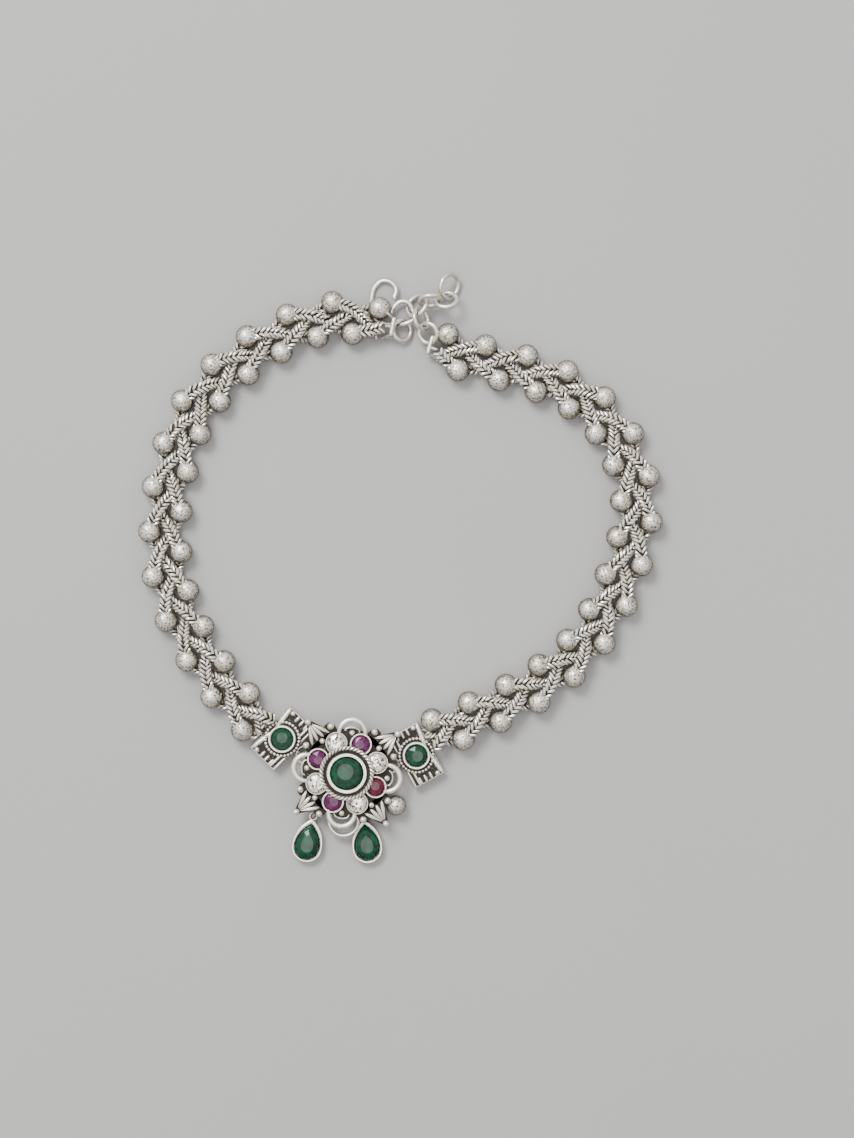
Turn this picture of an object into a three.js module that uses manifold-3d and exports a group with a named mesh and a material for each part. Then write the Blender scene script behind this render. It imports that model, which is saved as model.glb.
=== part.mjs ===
// A payal anklet, closed and lying flat: a flower medallion with two pear drops, an end box on each
// side of it, two three-strand braids set with balls, and a hook with a short chain of extender rings.
// Millimetres, +Z up, +Y from the medallion to the clasp. The origin is under the middle of the anklet.

import * as THREE from "three";
import { ConvexGeometry } from "three/addons/geometries/ConvexGeometry.js";
import { mergeVertices } from "three/addons/utils/BufferGeometryUtils.js";
import Module from "manifold-3d";

const wasm = await Module();
wasm.setup();

// Fits and mesh fineness
const GAP = 0.3;
const STONE_GAP = 0.14;
const MERGE = 1e-4;
const WIRE_SIDES = 5;
const RING_STEPS = 10;
const BEZEL_SIDES = 10;
const EYE_SIDES = 8;
const CURVE_STEPS = 5;
const ARC_DIVISIONS = 600;
const CUT_MARGIN = 0.05;
const degrees = THREE.MathUtils.degToRad;

// From the origin of the places below to the middle of the anklet
const MIDDLE = { x: 1.6, y: 0 };

// Braids: each has three flat strands, and a ball at every turn of a strand
const BALL_RADIUS = 2.15;
const BALL_SIDES = 10;
const BALL_ROWS = 4;
const BALL_REACH = 2.9;
const BRAID_LEVEL = BALL_RADIUS;
const BRAID_REACH = 2.5;
const BRAID_RISE = 1.25;
const STRANDS = 3;
const STRAND_WIDTH = 2.5;
const STRAND_THICKNESS = 1.45;
const STEPS_PER_PERIOD = 9;
const START_CLEARANCE = 1.6;
const END_CLEARANCE = 1.3;
const END_SLACK = 0.05;

// Flower medallion
const FLOWER = { x: -8.4, y: -38.3, turn: -7.5 };
const PETAL_TURN = 4;
const PLATE_BOTTOM = 2.9;
const PLATE_TOP = 3.5;
const BACK_RADIUS = 6.4;
const DISC_RADIUS = 8.3;
const BACK_SIDES = 20;
const CENTRE_BEZEL = { outer: 3.73, inner: 3.13, bottom: 3.3, floor: 4.1, top: 5.2 };
const PETAL_BEZEL = { outer: 2.05, inner: 1.73, bottom: 3.4, floor: PLATE_TOP, top: 4.5 };
const PETAL_DISTANCE = 5.98;
const PETALS = 8;
const ROPE = { radius: 4.74, wire: 0.3, bottom: 4.6, groove: 4.7, middle: 4.85, top: 5.05 };
const CORNERS = 4;
const QUARTER = 360 / CORNERS;
const ARCH = { distance: 7.6, radius: 2.46, wire: 0.5, sweep: 200, level: 3.75, steps: 8 };
const SMALL_GRAIN = { distance: 7.55, radius: 0.55 };
const LARGE_GRAIN = { distance: 9.25, radius: 0.65, spread: 18.3 };
const TIP_GRAIN = { distance: 12, radius: 0.63 };
const GRAIN_SEAT = 0.35;
const LEAF = { apex: 11.2, inner: 8, spread: 1.57, width: 0.8, height: 0.9, rise: 0.1, count: 4 };

// One half of the outline of a fan's plate: out from the flower's centre, and to the side
const FAN_OUTLINE = [
  { out: 7, side: 3.4 },
  { out: 8.5, side: 3.6 },
  { out: 9.6, side: 3 },
  { out: 9.6, side: 2 },
  { out: 9, side: 1.95 },
  { out: 11.9, side: 0.5 },
];

// Round cut stones: the sides of the girdle, the sizes of the foot and the table as shares of it
const STONE = { sides: 16, foot: 0.9, footDepth: 0.25, table: 0.58 };
const CENTRE_STONE = { girdle: 4.8, table: 5.6 };
const PETAL_STONE = { girdle: 4, table: 4.4 };
const BOX_STONE = { girdle: 3, table: 3.7 };

// End boxes: x points from the braid to the flower
const BOX = { length: 6.4, width: 10.8, height: 2.2 };
const BOX_BEZEL = { outer: 2.57, inner: 2.17, bottom: 2, floor: 2.6, top: 3.4 };
const BOX_RING = { radius: 3.17, wire: 0.31, groove: 2.3, middle: 2.35, top: 2.6, sides: 16 };
const BOX_BAR = { length: 5, width: 0.9, height: 0.9, lean: 7, inset: 0.65, side: 2.75 };
const BOX_RIDGE = { length: 3.4, width: 0.5, height: 0.35, offsets: [2, 2.9] };
const BOX_RIB = { length: 1.5, width: 0.55, height: 0.35, places: [-0.6, 0.5, 1.6] };
const BOX_GRAIN = { place: -1.9, radius: 0.5, inset: 0.6 };
const BOXES = [
  { side: "left", x: -20.6, y: -32, turn: -45 },
  { side: "right", x: 4.6, y: -35.1, turn: 208.6 },
];

// Wire eyes and the rings that join the flower to its neighbours
const EYE = { outer: 0.85, hole: 0.45, thickness: 0.4 };
const EYE_OUT = 0.5;
const LINK_LEVEL = 1;
const LINK_WIRE = 0.25;
const BASE_LOOP = { radius: 2.7, wire: 0.35, distance: 9.2, turn: -94, level: 2.25 };

// Pear drops: distance and bearing of the tip from the flower's centre, and the way each one points
const DROP = { length: 8.2, width: 5.7, curve: 1.9, wall: 0.45, floor: 0.5, height: 1.7 };
const DROP_STONE = { middle: 4.92, foot: 0.94, girdle: 1.4, crown: 0.5, table: 2.3, steps: 4 };
const DROP_EYE_LEVEL = 1;
const DROP_EYE_OUT = 0.5;
const DROP_RING = { radius: 1, wire: 0.2, level: 1.3, overlap: 0.05 };
const DROPS = [
  { side: "left", distance: 11, bearing: -126.4, turn: -101.7 },
  { side: "right", distance: 9.5, bearing: -70.8, turn: -83 },
];
const HANGING_BALL = { radius: 1.9, distance: 11.1, bearing: -34.1, room: 0.25 };
const BALL_EYE = { out: 0.45, radius: 0.8, wire: 0.2, level: 2.1 };

// Middle lines of the braids, from the end box to the clasp
const LEFT_PATH = [
  { x: -23.3, y: -30.9 },
  { x: -30, y: -24.3 },
  { x: -36.8, y: -14.5 },
  { x: -41.1, y: -5 },
  { x: -42.6, y: 5.5 },
  { x: -41.4, y: 18 },
  { x: -36.4, y: 30.8 },
  { x: -27.5, y: 39.8 },
  { x: -17.4, y: 45.4 },
  { x: -9.4, y: 47.2 },
  { x: -1.1, y: 45.6 },
];
const RIGHT_PATH = [
  { x: 6.4, y: -32.1 },
  { x: 16.6, y: -27.4 },
  { x: 27, y: -22.1 },
  { x: 36, y: -14.4 },
  { x: 42.8, y: -2.4 },
  { x: 46, y: 12 },
  { x: 42.6, y: 24.2 },
  { x: 34.8, y: 32.6 },
  { x: 24.5, y: 37.2 },
  { x: 15.5, y: 39.4 },
  { x: 8.4, y: 41.6 },
];
const BRAIDS = [
  { side: "left", path: LEFT_PATH, outer: 1, firstTurn: 3.9, period: 24, rise: -1 },
  { side: "right", path: RIGHT_PATH, outer: -1, firstTurn: 6.4, period: 23.2, rise: -1 },
];

// Clasp
const CLASP_WIRE = 0.38;
const SOLDER_BAR = { length: 0.9, width: 4, height: 2, gap: 0.8 };
const END_RINGS = [
  { side: "left", x: 1.9, y: 44.8, z: 1.35, radius: 1.9, heading: 91, tilt: 29 },
  { side: "right", x: 6.8, y: 44.2, z: 2.5, radius: 1.9, heading: 121, tilt: -32 },
];
const EXTENDER = [
  { x: 5.5, y: 46.8, z: 3, radius: 2, heading: 105, tilt: 53 },
  { x: 4.7, y: 49.4, z: 2.2, radius: 2.2, heading: 53, tilt: -45 },
  { x: 7.2, y: 50.2, z: 3.4, radius: 2, heading: 3, tilt: 66 },
  { x: 10.2, y: 50.4, z: 3, radius: 2, heading: 5, tilt: -43 },
  { x: 10.8, y: 53, z: 2.3, radius: 2.3, heading: 69, tilt: 47 },
];
const HOOK_PATH = [
  { x: 0.4, y: 50.9, z: 1.2 },
  { x: 0.8, y: 52.5, z: 1 },
  { x: -0.2, y: 53.9, z: 0.8 },
  { x: -1.9, y: 54.2, z: 0.6 },
  { x: -3.4, y: 52.8, z: 0.45 },
  { x: -3.85, y: 50.6, z: 0.39 },
  { x: -4, y: 48.5, z: 0.39 },
  { x: -2.89, y: 46.75, z: 0.39 },
  { x: -0.68, y: 46.11, z: 0.39 },
  { x: 0.86, y: 45.77, z: 0.72 },
  { x: 2.11, y: 45.92, z: 1.81 },
  { x: 3.98, y: 46.8, z: 1.93 },
  { x: 4, y: 48.4, z: 1.65 },
  { x: 3, y: 50, z: 1.65 },
  { x: 1.6, y: 50.2, z: 1.5 },
  { x: 0.2, y: 49, z: 1.3 },
  { x: -0.2, y: 48, z: 1.2 },
];
const HOOK_STEPS = 26;

// Materials
const silver = new THREE.MeshStandardMaterial({ color: 0xc9c5bb, roughness: 0.35, metalness: 1 });
const emerald = new THREE.MeshStandardMaterial({ color: 0x0f5a3a, roughness: 0.1, metalness: 0 });
const ruby = new THREE.MeshStandardMaterial({ color: 0x7a1f5c, roughness: 0.1, metalness: 0 });
const crystal = new THREE.MeshStandardMaterial({ color: 0xe6e4e0, roughness: 0.05, metalness: 0 });

// Solids and geometries

// The solid that a closed geometry bounds, with shared corners merged and empty triangles dropped.
function solidOf(geometry) {
  const loose = geometry.index ? geometry.toNonIndexed() : geometry;
  const bare = new THREE.BufferGeometry().setAttribute("position", loose.getAttribute("position"));
  const merged = mergeVertices(bare, MERGE);
  const corners = merged.index.array;
  const triVerts = [];
  for (let i = 0; i < corners.length; i += 3) {
    const [a, b, c] = corners.subarray(i, i + 3);
    if (a !== b && b !== c && c !== a) triVerts.push(a, b, c);
  }
  const vertProperties = merged.getAttribute("position").array;
  const mesh = new wasm.Mesh({ numProp: 3, vertProperties, triVerts: new Uint32Array(triVerts) });
  return new wasm.Manifold(mesh);
}

function geometryOf(solid) {
  const mesh = solid.getMesh();
  const geometry = new THREE.BufferGeometry();
  geometry.setAttribute("position", new THREE.BufferAttribute(new Float32Array(mesh.vertProperties), 3));
  geometry.setIndex(new THREE.BufferAttribute(new Uint32Array(mesh.triVerts), 1));
  geometry.computeVertexNormals();
  return geometry;
}

function fuse(geometries) {
  return geometries.map(solidOf).reduce((whole, next) => whole.add(next));
}

function meshOf(name, geometry, material) {
  const mesh = new THREE.Mesh(geometry, material);
  mesh.name = name;
  return mesh;
}

// Basic shapes

// A profile of [radius, height] pairs, turned about the Z axis.
function turned(profile, sides) {
  const points = profile.map(([radius, height]) => new THREE.Vector2(radius, height));
  return new THREE.LatheGeometry(points, sides).rotateX(Math.PI / 2);
}

function cylinder(radius, bottom, top, sides) {
  return turned([[0, bottom], [radius, bottom], [radius, top], [0, top]], sides);
}

// The round wall that holds a stone.
function bezel({ outer, inner, bottom, top }) {
  return turned([[inner, bottom], [outer, bottom], [outer, top], [inner, top], [inner, bottom]], BEZEL_SIDES);
}

// A flat round eye, lying level about its hole.
function eye() {
  const shape = wireSection(EYE.outer, EYE_SIDES);
  shape.holes.push(new THREE.Path(wireSection(EYE.hole, EYE_SIDES).getPoints().reverse()));
  return plate(shape, -EYE.thickness / 2, EYE.thickness / 2);
}

function uprightEye() {
  return eye().rotateX(Math.PI / 2);
}

function ring(radius, wire, steps) {
  return new THREE.TorusGeometry(radius, wire, WIRE_SIDES, steps);
}

function grain(radius) {
  return new THREE.IcosahedronGeometry(radius, 0);
}

function ball(radius) {
  return new THREE.SphereGeometry(radius, BALL_SIDES, BALL_ROWS).rotateX(Math.PI / 2);
}

function block(length, width, height) {
  return new THREE.BoxGeometry(length, width, height);
}

// A long lozenge with a ridge, for leaves and tapered bars.
function lozenge(length, width, height) {
  return new THREE.OctahedronGeometry(1).scale(length / 2, width / 2, height / 2);
}

function polygon(points) {
  return new THREE.Shape(points.map(({ x, y }) => new THREE.Vector2(x, y)));
}

function plate(shape, bottom, top) {
  const options = { depth: top - bottom, bevelEnabled: false, curveSegments: CURVE_STEPS };
  return new THREE.ExtrudeGeometry(shape, options).translate(0, 0, bottom);
}

function wireSection(radius, sides) {
  const points = [];
  for (let i = 0; i < sides; i += 1) {
    const angle = (2 * Math.PI * i) / sides;
    points.push({ x: radius * Math.cos(angle), y: radius * Math.sin(angle) });
  }
  return polygon(points);
}

function tube(extrudePath, section, steps) {
  return new THREE.ExtrudeGeometry(section, { steps, bevelEnabled: false, extrudePath });
}

// Puts an object at a bearing and a distance from the flower's centre.
function placeFromFlower(object, bearing, distance, level = 0) {
  const out = degrees(bearing);
  object.position.set(FLOWER.x + distance * Math.cos(out), FLOWER.y + distance * Math.sin(out), level);
  return object;
}

// Moves a geometry out along a bearing, turned to face that way.
function atBearing(geometry, bearing, distance, level = 0) {
  return geometry.translate(distance, 0, level).rotateZ(degrees(bearing));
}

// A cut stone with a flat table, eight crown facets and a flat base, from its girdle outline.
function cutStone(outline, levels) {
  const points = [];
  for (const { scale, level, every } of levels) {
    outline.forEach(({ x, y }, i) => {
      if (i % every === 0) points.push(new THREE.Vector3(x * scale, y * scale, level));
    });
  }
  return new ConvexGeometry(points);
}

function roundStone(radius, { girdle, table }) {
  const outline = [];
  for (let i = 0; i < STONE.sides; i += 1) {
    const angle = (2 * Math.PI * (i + 0.5)) / STONE.sides;
    outline.push({ x: radius * Math.cos(angle), y: radius * Math.sin(angle) });
  }
  return cutStone(outline, [
    { scale: STONE.foot, level: girdle - STONE.footDepth, every: 4 },
    { scale: 1, level: girdle, every: 1 },
    { scale: STONE.table, level: table, every: 2 },
  ]);
}

// Braids

// The middle line of one strand: it swings from side to side, and over and under the other strands.
class StrandPath extends THREE.Curve {
  constructor(middle, braid, phase) {
    super();
    this.middle = middle;
    this.braid = braid;
    this.phase = phase;
    this.span = middle.getLength();
    this.arcLengthDivisions = ARC_DIVISIONS;
  }

  swingAt(distance) {
    return (2 * Math.PI * (distance - this.braid.firstTurn)) / this.braid.period + Math.PI / 2 + this.phase;
  }

  // The point at a distance along the braid, and a reach to its outer side.
  pointBeside(distance, reach, rise) {
    const u = distance / this.span;
    const along = this.middle.getTangentAt(u);
    const outward = new THREE.Vector3(-along.y, along.x, 0).multiplyScalar(this.braid.outer);
    return this.middle.getPointAt(u).addScaledVector(outward, reach).setZ(BRAID_LEVEL + rise);
  }

  getPoint(t, target = new THREE.Vector3()) {
    const swing = this.swingAt(t * this.span);
    const rise = this.braid.rise * BRAID_RISE * Math.sin(2 * swing);
    return target.copy(this.pointBeside(t * this.span, BRAID_REACH * Math.sin(swing), rise));
  }

  // The flat section stays upright along the whole strand.
  computeFrenetFrames(segments) {
    const frames = { tangents: [], normals: [], binormals: [] };
    for (let i = 0; i <= segments; i += 1) {
      const tangent = this.getTangentAt(i / segments);
      const binormal = new THREE.Vector3().crossVectors(tangent, new THREE.Vector3(0, 0, 1)).normalize();
      frames.tangents.push(tangent);
      frames.binormals.push(binormal);
      frames.normals.push(new THREE.Vector3().crossVectors(binormal, tangent));
    }
    return frames;
  }
}

// A flat section with a ridge along the middle of each face.
function strandSection() {
  const [x, y] = [STRAND_THICKNESS / 2, STRAND_WIDTH / 2];
  return polygon([{ x: 0, y: -y }, { x, y: 0 }, { x: 0, y }, { x: -x, y: 0 }]);
}

// A block that reaches from an end box's braid side over the box, for cutting strands off in front of it.
function endCutter(side) {
  const size = 2 * BOX.width;
  const { x, y, turn } = BOXES.find((box) => box.side === side);
  const cutter = block(size, size, size).translate(size / 2 - BOX.length / 2 - GAP, 0, 0);
  return cutter.rotateZ(degrees(turn)).translate(x, y, 0);
}

function middleLine(path) {
  return new THREE.CatmullRomCurve3(path.map(({ x, y }) => new THREE.Vector3(x, y, 0)));
}

// Where a strand turns back, on the outer side (1) or the inner one (-1), each kept clear of the ends.
function turnsOf(braid, number, span) {
  const halfPeriod = braid.period / 2;
  const firstTurn = braid.firstTurn - (braid.period * number) / STRANDS;
  const turns = [];
  for (let i = Math.ceil((END_SLACK - firstTurn) / halfPeriod); ; i += 1) {
    const distance = firstTurn + i * halfPeriod;
    if (distance > span) return turns;
    const kept = THREE.MathUtils.clamp(distance, START_CLEARANCE, span - END_CLEARANCE);
    turns.push({ distance: kept, side: i % 2 === 0 ? 1 : -1 });
  }
}

function makeStrand(braid, number) {
  const middle = middleLine(braid.path);
  const phase = (2 * Math.PI * number) / STRANDS;
  const path = new StrandPath(middle, braid, phase);
  const steps = Math.round((path.span * STEPS_PER_PERIOD) / braid.period);
  const pieces = [tube(path, strandSection(), steps)];
  for (const { distance, side } of turnsOf(braid, number, path.span)) {
    const centre = path.pointBeside(distance, side * BALL_REACH, 0);
    pieces.push(ball(BALL_RADIUS).translate(centre.x, centre.y, centre.z));
  }
  const whole = fuse(pieces).subtract(solidOf(endCutter(braid.side)));
  return meshOf(`strand_${braid.side}_${number + 1}`, geometryOf(whole), silver);
}

// Flower medallion, made about its own centre

function petalPlaces() {
  return Array.from({ length: PETALS }, (_, i) => PETAL_TURN + (360 / PETALS) * (i + 0.5));
}

function archParts(bearing) {
  const half = degrees(ARCH.sweep / 2);
  const points = [];
  for (let i = 0; i <= ARCH.steps; i += 1) {
    const angle = -half + (2 * half * i) / ARCH.steps;
    points.push(new THREE.Vector3(ARCH.radius * Math.cos(angle), ARCH.radius * Math.sin(angle), 0));
  }
  const arc = tube(new THREE.CatmullRomCurve3(points), wireSection(ARCH.wire, WIRE_SIDES), ARCH.steps);
  return [
    atBearing(arc, bearing, ARCH.distance, ARCH.level),
    atBearing(grain(SMALL_GRAIN.radius), bearing, SMALL_GRAIN.distance, PLATE_TOP + GRAIN_SEAT),
  ];
}

function fanParts(bearing) {
  const right = FAN_OUTLINE.map(({ out, side }) => ({ x: out, y: -side }));
  const left = FAN_OUTLINE.map(({ out, side }) => ({ x: out, y: side })).reverse();
  const parts = [
    plate(polygon([...right, ...left]), PLATE_BOTTOM, PLATE_TOP).rotateZ(degrees(bearing)),
    atBearing(grain(SMALL_GRAIN.radius), bearing, SMALL_GRAIN.distance, PLATE_TOP + GRAIN_SEAT),
    atBearing(grain(TIP_GRAIN.radius), bearing, TIP_GRAIN.distance, PLATE_TOP + GRAIN_SEAT),
  ];
  for (const side of [-1, 1]) {
    const place = bearing + side * LARGE_GRAIN.spread;
    parts.push(atBearing(grain(LARGE_GRAIN.radius), place, LARGE_GRAIN.distance, PLATE_TOP + GRAIN_SEAT));
  }
  const length = LEAF.apex - LEAF.inner;
  for (let i = 0; i < LEAF.count; i += 1) {
    const side = LEAF.spread * (-1 + (2 * i) / (LEAF.count - 1));
    const lean = Math.atan2(-side, length);
    const leaf = lozenge(Math.hypot(length, side), LEAF.width, LEAF.height).rotateZ(lean);
    leaf.translate(LEAF.inner + length / 2, side / 2, PLATE_TOP + LEAF.rise);
    parts.push(leaf.rotateZ(degrees(bearing)));
  }
  return parts;
}

function baseLoop() {
  const loop = ring(BASE_LOOP.radius, BASE_LOOP.wire, RING_STEPS);
  return atBearing(loop, BASE_LOOP.turn - FLOWER.turn, BASE_LOOP.distance, BASE_LOOP.level);
}

// A place on the flower, as a bearing and a distance from its centre, from its x and y.
function polar(x, y) {
  return { bearing: THREE.MathUtils.radToDeg(Math.atan2(y, x)), distance: Math.hypot(x, y) };
}

// The middle of a drop's ring. The drop's own eye lies a ring's radius further out on the same bearing.
function dropRingPlace({ distance, bearing, turn }) {
  const eyeX = distance * Math.cos(degrees(bearing)) - DROP_EYE_OUT * Math.cos(degrees(turn));
  const eyeY = distance * Math.sin(degrees(bearing)) - DROP_EYE_OUT * Math.sin(degrees(turn));
  const eye = polar(eyeX, eyeY);
  return { bearing: eye.bearing, distance: eye.distance - DROP_RING.radius + DROP_RING.overlap };
}

function plateEyes() {
  const level = DROP_RING.level + DROP_RING.radius;
  return DROPS.map(dropRingPlace).map(({ bearing, distance }) => {
    return atBearing(eye().rotateY(Math.PI / 2), bearing - FLOWER.turn, distance, level);
  });
}

// The upright eye that the hanging ball's own eye goes through.
function ballEye() {
  const { radius, distance, bearing } = HANGING_BALL;
  const upright = ring(BALL_EYE.radius, BALL_EYE.wire, RING_STEPS).rotateX(Math.PI / 2);
  const place = distance - radius - BALL_EYE.out - BALL_EYE.radius;
  return atBearing(upright, bearing - FLOWER.turn, place, BALL_EYE.level);
}

// Where each end box meets the flower: the bearing and distance of the middle of the box's near face.
function boxMeeting({ x, y, turn }) {
  const faceX = x + (BOX.length / 2) * Math.cos(degrees(turn)) - FLOWER.x;
  const faceY = y + (BOX.length / 2) * Math.sin(degrees(turn)) - FLOWER.y;
  return polar(faceX, faceY);
}

// The centre bezel, with the rope ring held on a flange over the petals' inner edges.
function centreAndRope() {
  const { outer, inner, bottom, floor, top } = CENTRE_BEZEL;
  const far = ROPE.radius + ROPE.wire;
  const near = ROPE.radius - ROPE.wire;
  const foot = [[0, bottom], [outer, bottom], [outer, ROPE.bottom]];
  const rope = [[far, ROPE.bottom], [far, ROPE.middle], [ROPE.radius, ROPE.top], [near, ROPE.groove]];
  const wall = [[outer, ROPE.groove], [outer, top], [inner, top], [inner, floor], [0, floor]];
  return turned([...foot, ...rope, ...wall], BACK_SIDES);
}

function makeFlower() {
  const back = [[0, 0], [BACK_RADIUS, 0], [BACK_RADIUS, PLATE_BOTTOM]];
  const disc = [[DISC_RADIUS, PLATE_BOTTOM], [DISC_RADIUS, PLATE_TOP], [0, PLATE_TOP]];
  const parts = [turned([...back, ...disc], BACK_SIDES)];
  for (let i = 0; i < CORNERS; i += 1) {
    parts.push(...archParts(QUARTER * i), ...fanParts(QUARTER * (i + 0.5)));
  }
  for (const bearing of petalPlaces()) parts.push(atBearing(bezel(PETAL_BEZEL), bearing, PETAL_DISTANCE));
  for (const box of BOXES) {
    const { bearing } = boxMeeting(box);
    parts.push(atBearing(uprightEye(), bearing - FLOWER.turn, BACK_RADIUS + EYE_OUT, LINK_LEVEL));
  }
  parts.push(baseLoop(), ...plateEyes());
  parts.push(centreAndRope());
  const wells = petalPlaces().map((bearing) => {
    const hole = cylinder(PETAL_BEZEL.inner, PETAL_BEZEL.floor, PETAL_BEZEL.top + CUT_MARGIN, BEZEL_SIDES);
    return atBearing(hole, bearing, PETAL_DISTANCE);
  });
  const { radius, distance, bearing, room } = HANGING_BALL;
  const clearance = atBearing(ball(radius + room), bearing - FLOWER.turn, distance, radius);
  const cuts = [...wells, clearance].map(solidOf);
  const whole = cuts.reduce((body, cut) => body.subtract(cut), fuse(parts)).add(solidOf(ballEye()));
  return meshOf("flower_frame", geometryOf(whole), silver);
}

function makeFlowerGroup() {
  const group = new THREE.Group();
  group.position.set(FLOWER.x, FLOWER.y, 0);
  group.rotation.z = degrees(FLOWER.turn);
  group.add(makeFlower());
  const centre = roundStone(CENTRE_BEZEL.inner - STONE_GAP, CENTRE_STONE);
  group.add(meshOf("centre_stone", centre, emerald));
  petalPlaces().forEach((bearing, i) => {
    const stone = roundStone(PETAL_BEZEL.inner - STONE_GAP, PETAL_STONE);
    const clear = i % 2 === 0;
    const name = `${clear ? "crystal" : "ruby"}_${Math.floor(i / 2) + 1}`;
    const mesh = meshOf(name, stone, clear ? crystal : ruby);
    mesh.rotation.z = degrees(bearing);
    mesh.position.set(PETAL_DISTANCE, 0, 0).applyAxisAngle(new THREE.Vector3(0, 0, 1), degrees(bearing));
    group.add(mesh);
  });
  return group;
}

// End boxes

// The bezel of an end box's stone, with the beaded ring round it.
function boxBezel() {
  const { outer, inner, bottom, floor, top } = BOX_BEZEL;
  const { radius, wire, groove, middle, sides } = BOX_RING;
  const beads = [[0, bottom], [radius + wire, bottom], [radius + wire, middle], [radius, BOX_RING.top]];
  const dip = [[radius - wire, groove], [outer, groove]];
  const wall = [[outer, top], [inner, top], [inner, floor], [0, floor]];
  return turned([...beads, ...dip, ...wall], sides);
}

function makeBoxFrame(name, eyeTurn) {
  const parts = [
    block(BOX.length, BOX.width, BOX.height).translate(0, 0, BOX.height / 2),
    boxBezel(),
    atBearing(uprightEye(), eyeTurn, EYE_OUT, LINK_LEVEL).translate(BOX.length / 2, 0, 0),
  ];
  for (const side of [-1, 1]) {
    const bar = lozenge(BOX_BAR.length, BOX_BAR.width, BOX_BAR.height);
    bar.rotateZ(Math.PI / 2 + side * degrees(BOX_BAR.lean));
    parts.push(bar.translate(-BOX.length / 2 + BOX_BAR.inset, side * BOX_BAR.side, BOX.height));
    for (const offset of BOX_RIDGE.offsets) {
      const ridge = block(BOX_RIDGE.width, BOX_RIDGE.length, 2 * BOX_RIDGE.height);
      parts.push(ridge.translate(offset, (side * (BOX.width - BOX_RIDGE.length)) / 2, BOX.height));
    }
    for (const place of BOX_RIB.places) {
      const rib = block(BOX_RIB.width, BOX_RIB.length, 2 * BOX_RIB.height);
      parts.push(rib.translate(place, (side * (BOX.width - BOX_RIB.length)) / 2, BOX.height));
    }
    const grainSide = side * (BOX.width / 2 - BOX_GRAIN.inset);
    parts.push(grain(BOX_GRAIN.radius).translate(BOX_GRAIN.place, grainSide, BOX.height));
  }
  return meshOf(name, geometryOf(fuse(parts)), silver);
}

function makeBox(box) {
  const group = new THREE.Group();
  group.position.set(box.x, box.y, 0);
  group.rotation.z = degrees(box.turn);
  const towardFlower = boxMeeting(box).bearing + 180 - box.turn;
  group.add(makeBoxFrame(`box_${box.side}`, towardFlower));
  const stone = roundStone(BOX_BEZEL.inner - STONE_GAP, BOX_STONE);
  group.add(meshOf(`box_stone_${box.side}`, stone, emerald));
  return group;
}

// The flat ring between an end box's eye and the flower's eye.
function makeLink(box) {
  const { bearing, distance } = boxMeeting(box);
  const inner = BACK_RADIUS + EYE_OUT;
  const outer = distance - EYE_OUT;
  const link = ring((outer - inner) / 2, LINK_WIRE, RING_STEPS);
  const mesh = meshOf(`link_${box.side}`, link.rotateZ(degrees(bearing)), silver);
  return placeFromFlower(mesh, bearing, (inner + outer) / 2, LINK_LEVEL);
}

// Drops: x points from the tip to the round end

function pearShape(inset) {
  const radius = DROP.width / 2 - inset;
  const centre = DROP.length - DROP.width / 2;
  const tip = inset * DROP.curve;
  const shape = new THREE.Shape();
  shape.moveTo(tip, 0);
  shape.quadraticCurveTo(tip + DROP.curve, -radius, centre, -radius);
  shape.absarc(centre, 0, radius, -Math.PI / 2, Math.PI / 2, false);
  shape.quadraticCurveTo(tip + DROP.curve, radius, tip, 0);
  return shape;
}

function makeDropSetting(side) {
  const body = solidOf(plate(pearShape(0), 0, DROP.height));
  const well = solidOf(plate(pearShape(DROP.wall), DROP.floor, DROP.height + CUT_MARGIN));
  const hung = solidOf(eye().translate(-DROP_EYE_OUT, 0, DROP_EYE_LEVEL));
  return meshOf(`drop_setting_${side}`, geometryOf(body.subtract(well).add(hung)), silver);
}

function makeDropStone(side) {
  const { middle, foot, girdle, crown, table, steps } = DROP_STONE;
  const outline = pearShape(DROP.wall + STONE_GAP).getPoints(steps);
  const centred = outline.map(({ x, y }) => ({ x: x - middle, y }));
  const stone = cutStone(centred, [
    { scale: foot, level: DROP.floor + STONE_GAP, every: 1 },
    { scale: 1, level: girdle, every: 1 },
    { scale: crown, level: table, every: 1 },
  ]);
  return meshOf(`drop_stone_${side}`, stone.translate(middle, 0, 0), emerald);
}

function makeDrop({ side, distance, bearing, turn }) {
  const group = new THREE.Group();
  group.rotation.z = degrees(turn);
  group.add(makeDropSetting(side), makeDropStone(side));
  return placeFromFlower(group, bearing, distance);
}

function makeDropRing(drop) {
  const { bearing, distance } = dropRingPlace(drop);
  const upright = ring(DROP_RING.radius, DROP_RING.wire, RING_STEPS).rotateX(Math.PI / 2);
  const mesh = meshOf(`drop_ring_${drop.side}`, upright.rotateZ(degrees(bearing)), silver);
  return placeFromFlower(mesh, bearing, distance, DROP_RING.level);
}

function makeHangingBall() {
  const { radius, distance, bearing } = HANGING_BALL;
  const whole = fuse([ball(radius), eye().translate(-radius - BALL_EYE.out, 0, 0)]);
  const mesh = meshOf("hanging_ball", geometryOf(whole), silver);
  mesh.rotation.z = degrees(bearing);
  return placeFromFlower(mesh, bearing, distance, radius);
}

// Clasp

function tilted(geometry, heading, tilt) {
  return geometry.rotateX(degrees(tilt)).rotateZ(degrees(heading));
}

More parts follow.
